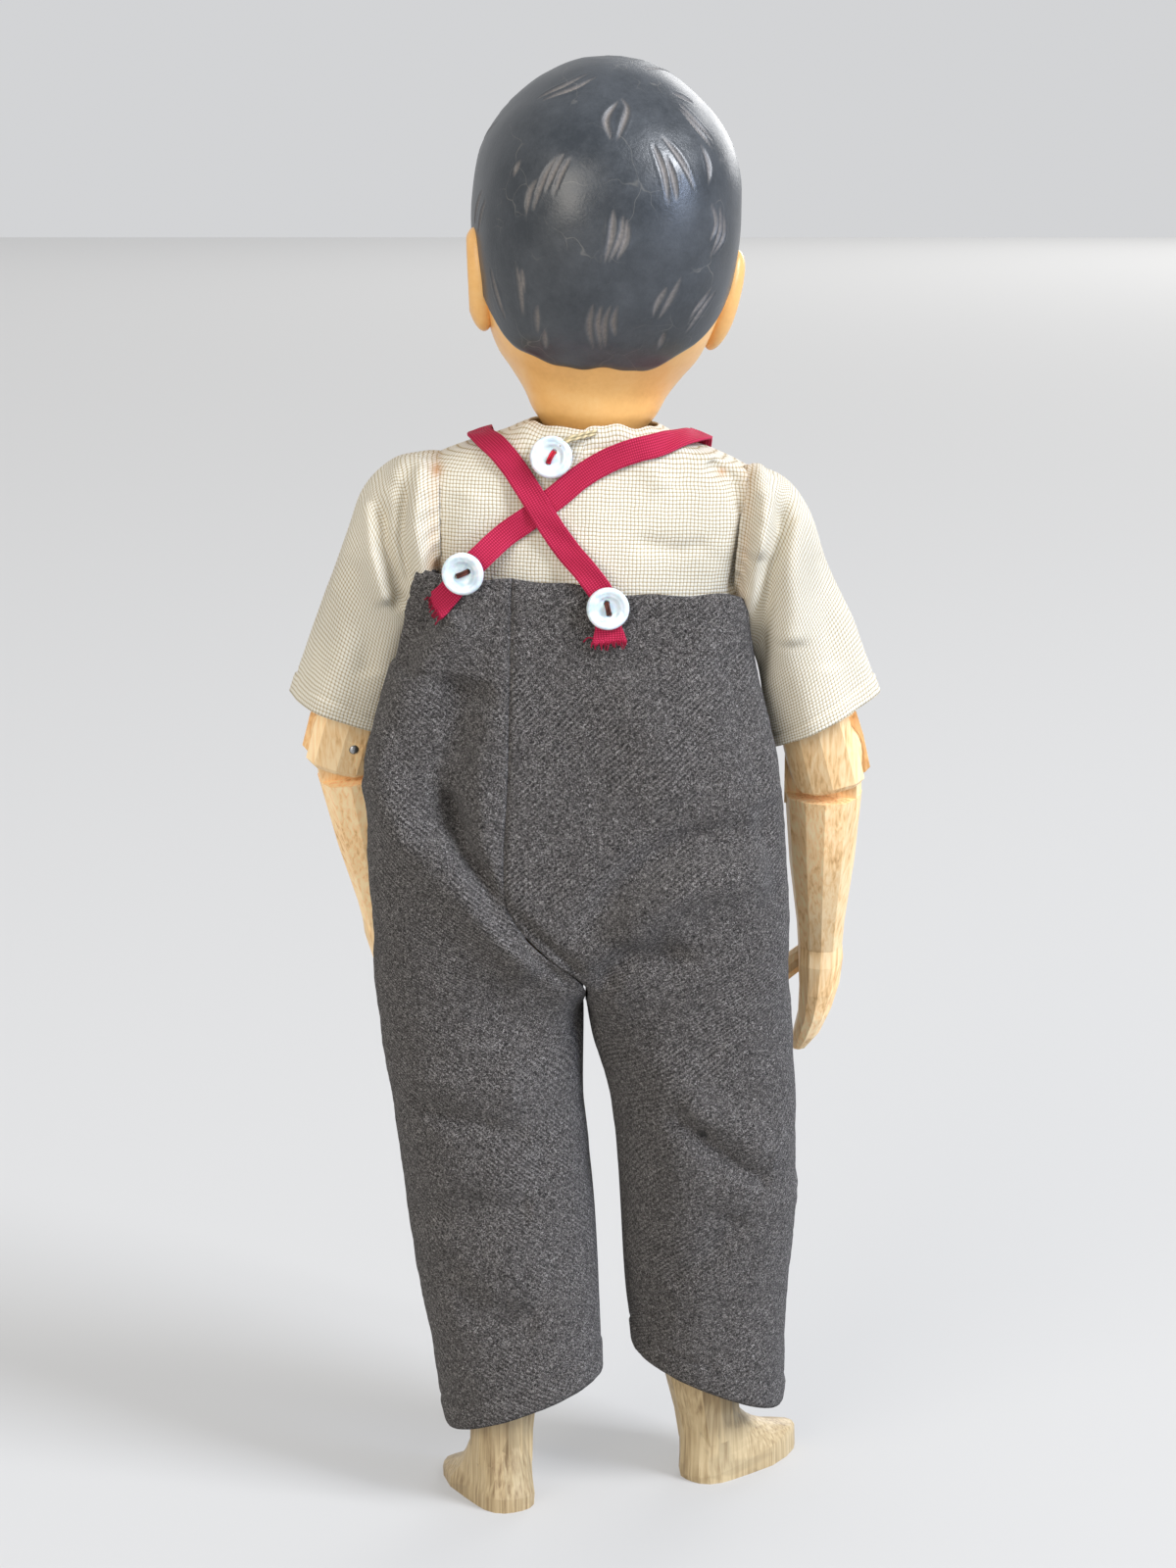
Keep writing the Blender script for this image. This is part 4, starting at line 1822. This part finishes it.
    def fringe(self, side: Side, cotton: Material) -> Piece:
        """The frayed threads at the cut end on the back.

        Args:
            side: the shoulder that the tape crosses.
            cotton: its finish.

        Returns:
            The threads.
        """
        at, out = self.spot(*self.paths[side][-1])
        before, _ = self.spot(*self.paths[side][-2])
        run = (at - before).normalized()
        across = run.cross(out).normalized()
        chance = np.random.default_rng(11 + side.value)
        lines = []
        for k in range(self.fringe_threads):
            place = (k / (self.fringe_threads - 1) - 0.5) * self.width * (1 + self.end_spread[side])
            slant = -self.end_slant[side] * (place / self.width * 2 + 1) * 1.8
            start = at + across * place + run * (slant - 0.8) + out * (self.thickness - 0.1)
            length = chance.uniform(1.0, 2.2) if side is Side.LEFT else chance.uniform(1.1, 2.0)
            lean = chance.uniform(-0.35, 0.35)
            end = start + run * length + across * lean * length + out * chance.uniform(-0.2, 0.5)
            middle = (start + end) / 2 + out * 0.25
            lines.append(bent_line([start, middle, end], 6))
        if side is Side.LEFT:
            # One warp thread has worked loose at the corner
            corner = at + across * self.width * 0.6 + out * 0.6
            loose = [corner - run * 1.5, corner + across * 1.4 - run * 1.9, corner + across * 2.6 - run * 0.9]
            lines.append(bent_line(loose, 8))
        made = cord_mesh(f"brace_{side.word}_fringe", lines, self.thread_radius, 5, TRUNK)
        made.data.materials.append(cotton)
        return made


@dataclass
class Button:
    """A turned button: rim, sunk middle and two holes, with its thread."""

    name: str
    seat: tuple
    spin: float
    dye: str
    radius: float = 4.9
    thickness: float = 1.9
    spacing: float = 1.35
    hole: float = 0.62
    hole_depth: float = 1.0
    thread_radius: float = 0.3
    points: int = 96
    profile: Table = (
        (0.0, -1.0), (1.7, -1.0), (2.3, -0.85), (2.9, -0.38), (3.4, -0.22), (3.8, -0.05), (4.2, 0.0),
        (4.55, -0.12), (4.8, -0.5), (4.9, -0.95),
    )
    # Radius and height of the rounded underside
    underside: Table = ((4.85, 0.5), (4.6, 0.2), (4.1, 0.0), (2.0, 0.0), (0.02, 0.0))

    def where(self, braces: Braces) -> Matrix:
        """The button's own frame in the row frame.

        Args:
            braces: on whose stations it is sewn.

        Returns:
            The frame, with z out of the button's face.
        """
        at, out = braces.spot(*self.seat)
        facing = Vector((out.x, out.y, min(out.z, 0.5))).normalized()
        turn = Vector((0, 0, 1)).rotation_difference(facing).to_matrix().to_4x4()
        return TRUNK @ Matrix.Translation(at) @ turn @ Matrix.Rotation(math.radians(self.spin), 4, "Z")

    def disc(self, where: Matrix, milk: Material) -> Piece:
        """The disc, lathe-turned, with both holes drilled in.

        Args:
            where: the button's frame.
            milk: its finish.

        Returns:
            The disc.
        """
        turn = round_angles(self.points)
        radius = np.concatenate([np.linspace(0.02, 4.2, 40), [4.4, 4.6, 4.75, 4.85, self.radius]])[:, None]
        x, y = radius * np.cos(turn), radius * np.sin(turn)
        z = self.thickness + reading(self.profile, radius) + 0 * turn
        away = np.hypot(np.abs(x) - self.spacing, y)
        z = z - self.hole_depth * (1 - ease((away - self.hole + 0.15) / 0.2))
        face = np.stack([x, y, np.maximum(z, 0.12)], axis=-1)
        r, h = np.array(self.underside).T[..., None]
        under = np.stack([r * np.cos(turn), r * np.sin(turn), h + 0 * turn], axis=-1)
        made = woven_grid(f"button_{self.name}_disc", np.concatenate([face, under]), where, closed=True)
        made.data.materials.append(milk)
        face_outwards(made, where @ Vector((0, 0, 0.6)) * MM)
        return made

    def thread(self, where: Matrix, spun: Material) -> Piece:
        """Two strands of thread from hole to hole.

        Args:
            where: the button's frame.
            spun: its finish.

        Returns:
            The strands.
        """
        top = self.thickness - 0.55
        lines = []
        for shift in (-0.26, 0.24):
            lines.append(bent_line([
                (-self.spacing, shift * 0.6, 0.1), (-self.spacing * 0.98, shift, top - 0.5),
                (-self.spacing * 0.55, shift * 1.2, top + 0.1), (0, shift * 1.1, top + 0.28),
                (self.spacing * 0.55, shift * 1.2, top + 0.1), (self.spacing * 0.98, shift, top - 0.5),
                (self.spacing, shift * 0.6, 0.1),
            ], 24))
        made = cord_mesh(f"button_{self.name}_thread", lines, self.thread_radius, 8, where)
        made.data.materials.append(spun)
        return made


@dataclass
class Fastenings:
    """All five buttons, and the loop that closes the collar."""

    buttons: Sequence[Button] = (
        Button("neck", ("back", 9.2, 117.8, 1.5), 60, "red"),
        Button("left_back", ("waist_back", 24.4, 92.6, 1.8), 15, "brown"),
        Button("right_back", ("waist_back", -8, 84.9, 1.8), 105, "brown"),
        Button("left_front", ("waist_front", 18.1, 84, 1.8), 20, "brown"),
        Button("right_front", ("waist_front", -28, 83, 1.8), -25, "brown"),
    )
    loop_path: Sequence[tuple[float, float, float]] = (
        (-0.6, 15.4, 124.4), (1.0, 16.2, 124.1), (3.2, 16.9, 123.5), (5.4, 17.4, 122.9), (7.4, 17.6, 121.6),
    )
    # The loop is two strands: the second one lies this far from the first
    second_strand: tuple[float, float, float] = (0.1, 0.1, -0.75)
    strand_radius: float = 0.34

    def loop(self, spun: Material) -> Piece:
        """The thread loop, from the collar's other edge to the neck button.

        Args:
            spun: its finish.

        Returns:
            The loop.
        """
        line = bent_line(self.loop_path, 20)
        strands = [line, line + np.array(self.second_strand)]
        made = cord_mesh("neck_loop_thread", strands, self.strand_radius, 8, TRUNK)
        made.data.materials.append(spun)
        return made


@dataclass
class WoodenBody:
    """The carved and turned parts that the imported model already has; they get edges and finishes."""

    edge: float = 0.4
    # Corners sharper than this are worn, and points nearer than this are one, in degrees and millimetres
    worn_from: float = 16.0
    weld: float = 0.02

    def build(self, wood: Material, handled: Material, steel: Material, rubber: Material) -> int:
        """Softens the edges and gives each part its finish.

        Args:
            wood: for trunk and limbs.
            handled: for the feet and lower legs, which are more worn.
            steel: for pins and swivels.
            rubber: for the elastic cords.

        Returns:
            How many parts were finished.
        """
        done = 0
        for name, part in frame["nodes"].items():
            if name.startswith(("shirt", "sleeve", "trousers", "brace", "button", "neck_button")) or name == "head":
                continue
            metal = "pin" in name or "swivel" in name
            worn = name.startswith("lower_leg")
            finish = steel if metal else rubber if "elastic" in name else handled if worn else wood
            part.data.materials.clear()
            part.data.materials.append(finish)
            weld = part.modifiers.new("weld", "WELD")
            weld.merge_threshold = self.weld * MM
            if not metal and "elastic" not in name:
                soft = part.modifiers.new("worn_edges", "BEVEL")
                soft.width = self.edge * MM
                soft.segments = 2
                soft.limit_method = "ANGLE"
                soft.angle_limit = math.radians(self.worn_from)
            done += 1
        return done


@dataclass
class Studio:
    """Pale paper under plain soft light, and the camera at the photo's place."""

    paper: float = 14.0
    camera_far: float = 800.0
    camera_tilt: float = 12.0
    # From the middle of the hips to what the camera looks at
    aim: tuple[float, float, float] = (-4.2, 6, 35)
    lens: float = 78.05
    shift: tuple[float, float] = (-0.0019, 0.0146)
    # Strength of the world's light, and how much more of it the camera sees
    surroundings: float = 0.68
    shown_paler: float = 0.06

    def build(self) -> None:
        """Sets floor, world, lamps and camera."""
        half = self.paper / 2
        corners = np.array([(-half, -half, 0), (half, -half, 0), (half, half, 0), (-half, half, 0)], float)
        floor = new_object("floor_paper", corners, [(0, 1, 2, 3)])
        floor.data.materials.append(StudioPaper("matt_pale_paper").build())
        self.light()
        target = PELVIS * MM + Vector(self.aim) * MM
        tilt = math.radians(self.camera_tilt)
        place = target + Vector((0, math.cos(tilt), math.sin(tilt))) * self.camera_far * MM
        lens = bpy.data.cameras.new("photo_camera")
        lens.sensor_fit = "VERTICAL"
        lens.sensor_height = 36
        lens.lens = self.lens
        lens.shift_x, lens.shift_y = self.shift
        camera = bpy.data.objects.new("photo_camera", lens)
        camera.location = place
        camera.rotation_euler = (target - place).to_track_quat("-Z", "Y").to_euler()
        bpy.context.scene.collection.objects.link(camera)
        bpy.context.scene.camera = camera

    def lamp(self, name: str, at: tuple[float, float, float], size: float, power: float, colour: str) -> None:
        """Adds a square softbox that faces the doll.

        Args:
            name: of the lamp.
            at: its place in metres.
            size: its side in metres.
            power: in watts.
            colour: sRGB hex.
        """
        made = bpy.data.lights.new(name, "AREA")
        made.size, made.energy, made.color = size, power, srgb(colour)[:3]
        lamp = bpy.data.objects.new(name, made)
        lamp.location = at
        lamp.rotation_euler = (Vector((0, 0, 0.2)) - Vector(at)).to_track_quat("-Z", "Y").to_euler()
        bpy.context.scene.collection.objects.link(lamp)

    def light(self) -> None:
        """A large key above and right of the camera, a fill at its left, and pale surroundings."""
        self.lamp("key_softbox", (-2.1, 1.2, 2.2), 1.1, 102, "#f4f8ff")
        self.lamp("fill_softbox", (2.0, 3.2, 1.4), 2.4, 72, "#fff8ee")
        # A narrow window beside the camera lays the broad bluish sheen on the enamel
        self.lamp("side_window", (-2.5, 1.5, 0.95), 0.75, 28, "#c6daff")
        self.lamp("front_softbox", (-2.6, -6.0, 2.4), 3.4, 150, "#ffffff")
        world = bpy.data.worlds.new("studio_surroundings")
        world.use_nodes = True
        tree = world.node_tree
        tree.nodes.clear()
        more = {0: seen_directly(tree), 1: self.shown_paler, 2: self.surroundings}
        strength = node(tree, "Math", more, operation="MULTIPLY_ADD")
        glow = node(tree, "Background", {"Color": srgb("#f1f2f4"), "Strength": strength})
        node(tree, "OutputWorld", {"Surface": glow})
        bpy.context.scene.world = world
        bpy.context.scene.view_settings.view_transform = "Standard"


def bend_with_leg(piece: Piece, side: Side) -> None:
    """Lets an upper trouser piece follow trunk and thigh, while its seams hold to the trunk.

    They are eased towards the seam between the halves, which must stay together there
    whichever leg moves.

    Args:
        piece: the upper piece.
        side: which leg.
    """
    at = UPRIGHT @ Vector((side.value * 18, 0, 14)) * MM
    end = UPRIGHT @ Vector((side.value * 22, 0, -26)) * MM
    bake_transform(piece, "torso", f"hip_swivel_{side.word}", start=at, end=end)
    weights, far = piece.data.attributes["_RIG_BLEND"].data, piece.data.attributes["to_seam"].data
    for vertex, weight, away in zip(piece.data.vertices, weights, far):
        drop = (PELVIS.z - vertex.co.z / MM - 13) / 20
        weight.value *= float(max(ease(away.value / 20), ease(drop)))


def main() -> None:
    """Builds the doll's looks part by part, and reports each of them."""
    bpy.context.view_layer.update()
    wood = CarvedLinden("knife_carved_linden_waxed").build()
    handled = CarvedLinden("handled_linden_greyed", pale="#b9a682", middle="#a48f6c", dark="#7d6749").build()
    skin = VarnishedSkin("stained_and_varnished_linden").build()
    hair = BlackEnamelHair("black_oil_enamel_rubbed").build()
    linen = PlainLinen("unbleached_linen_plain_weave").build()
    wool = FulledWoolTwill("fulled_melange_wool_twill").build()
    cotton = CrimsonTape("crimson_dyed_cotton_tape").build()
    milk = MilkyResin("turned_casein_milky").build()
    threads = {
        "brown": SpunThread("brown_sewing_thread").build(),
        "red": SpunThread("red_sewing_thread", "#c81f36").build(),
        "natural": SpunThread("natural_linen_thread", "#d9c9a0").build(),
    }
    steel = CutNailSteel("bright_drawn_steel").build()
    rubber = BraidedElastic("cotton_braided_elastic").build()

    LOG.info("wooden body: %d parts", WoodenBody().build(wood, handled, steel, rubber))

    head = Head().build(skin, hair)
    for piece in head:
        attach(piece, "head")
    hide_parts("head")
    LOG.info("head: %d pieces", len(head))

    shirt = Shirt()
    body, left, right = shirt.build(linen)
    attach(body, "torso")
    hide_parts("shirt_body")
    for side, piece in ((Side.LEFT, left), (Side.RIGHT, right)):
        # The cloth gives between two places on either side of the armhole's seam
        start = TRUNK @ Vector((side.value * 31, 0, 103)) * MM
        end = TRUNK @ Vector((side.value * 38, 0, 103)) * MM
        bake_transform(piece, "torso", f"shoulder_swivel_{side.word}", start=start, end=end)
        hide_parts(f"sleeve_{side.word}")
    LOG.info("shirt: body and two sleeves")

    trousers = Trousers()
    for side, (upper, lower) in trousers.build(wool).items():
        bend_with_leg(upper, side)
        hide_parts(f"trousers_{side.word}")
        # The lower piece bends with the knee between these two heights
        start = UPRIGHT @ Vector((side.value * 18, 0, -54)) * MM
        end = UPRIGHT @ Vector((side.value * 18, 0, -80)) * MM
        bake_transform(lower, f"thigh_{side.word}", f"lower_leg_{side.word}", start=start, end=end)
    LOG.info("trousers: four pieces")

    braces = Braces(shirt, trousers)
    for side in Side:
        tape, fringe = braces.tape(side, cotton), braces.fringe(side, cotton)
        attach(tape, "torso")
        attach(fringe, "torso")
        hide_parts(f"brace_{side.word}_shoulder")
    LOG.info("braces: two tapes")

    fastenings = Fastenings()
    for button in fastenings.buttons:
        where = button.where(braces)
        disc, thread = button.disc(where, milk), button.thread(where, threads[button.dye])
        for piece, slot, name in ((disc, "button_resin", "button_"), (thread, "thread", "button_thread_")):
            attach(piece, "torso")
            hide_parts(name + button.name)
    loop = fastenings.loop(threads["natural"])
    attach(loop, "torso")
    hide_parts("neck_button_loop")
    LOG.info("fastenings: %d buttons and the neck loop", len(fastenings.buttons))

    Studio().build()


if __name__ == "__main__":
    logging.basicConfig(level=logging.INFO, format="%(name)s: %(message)s")
    main()
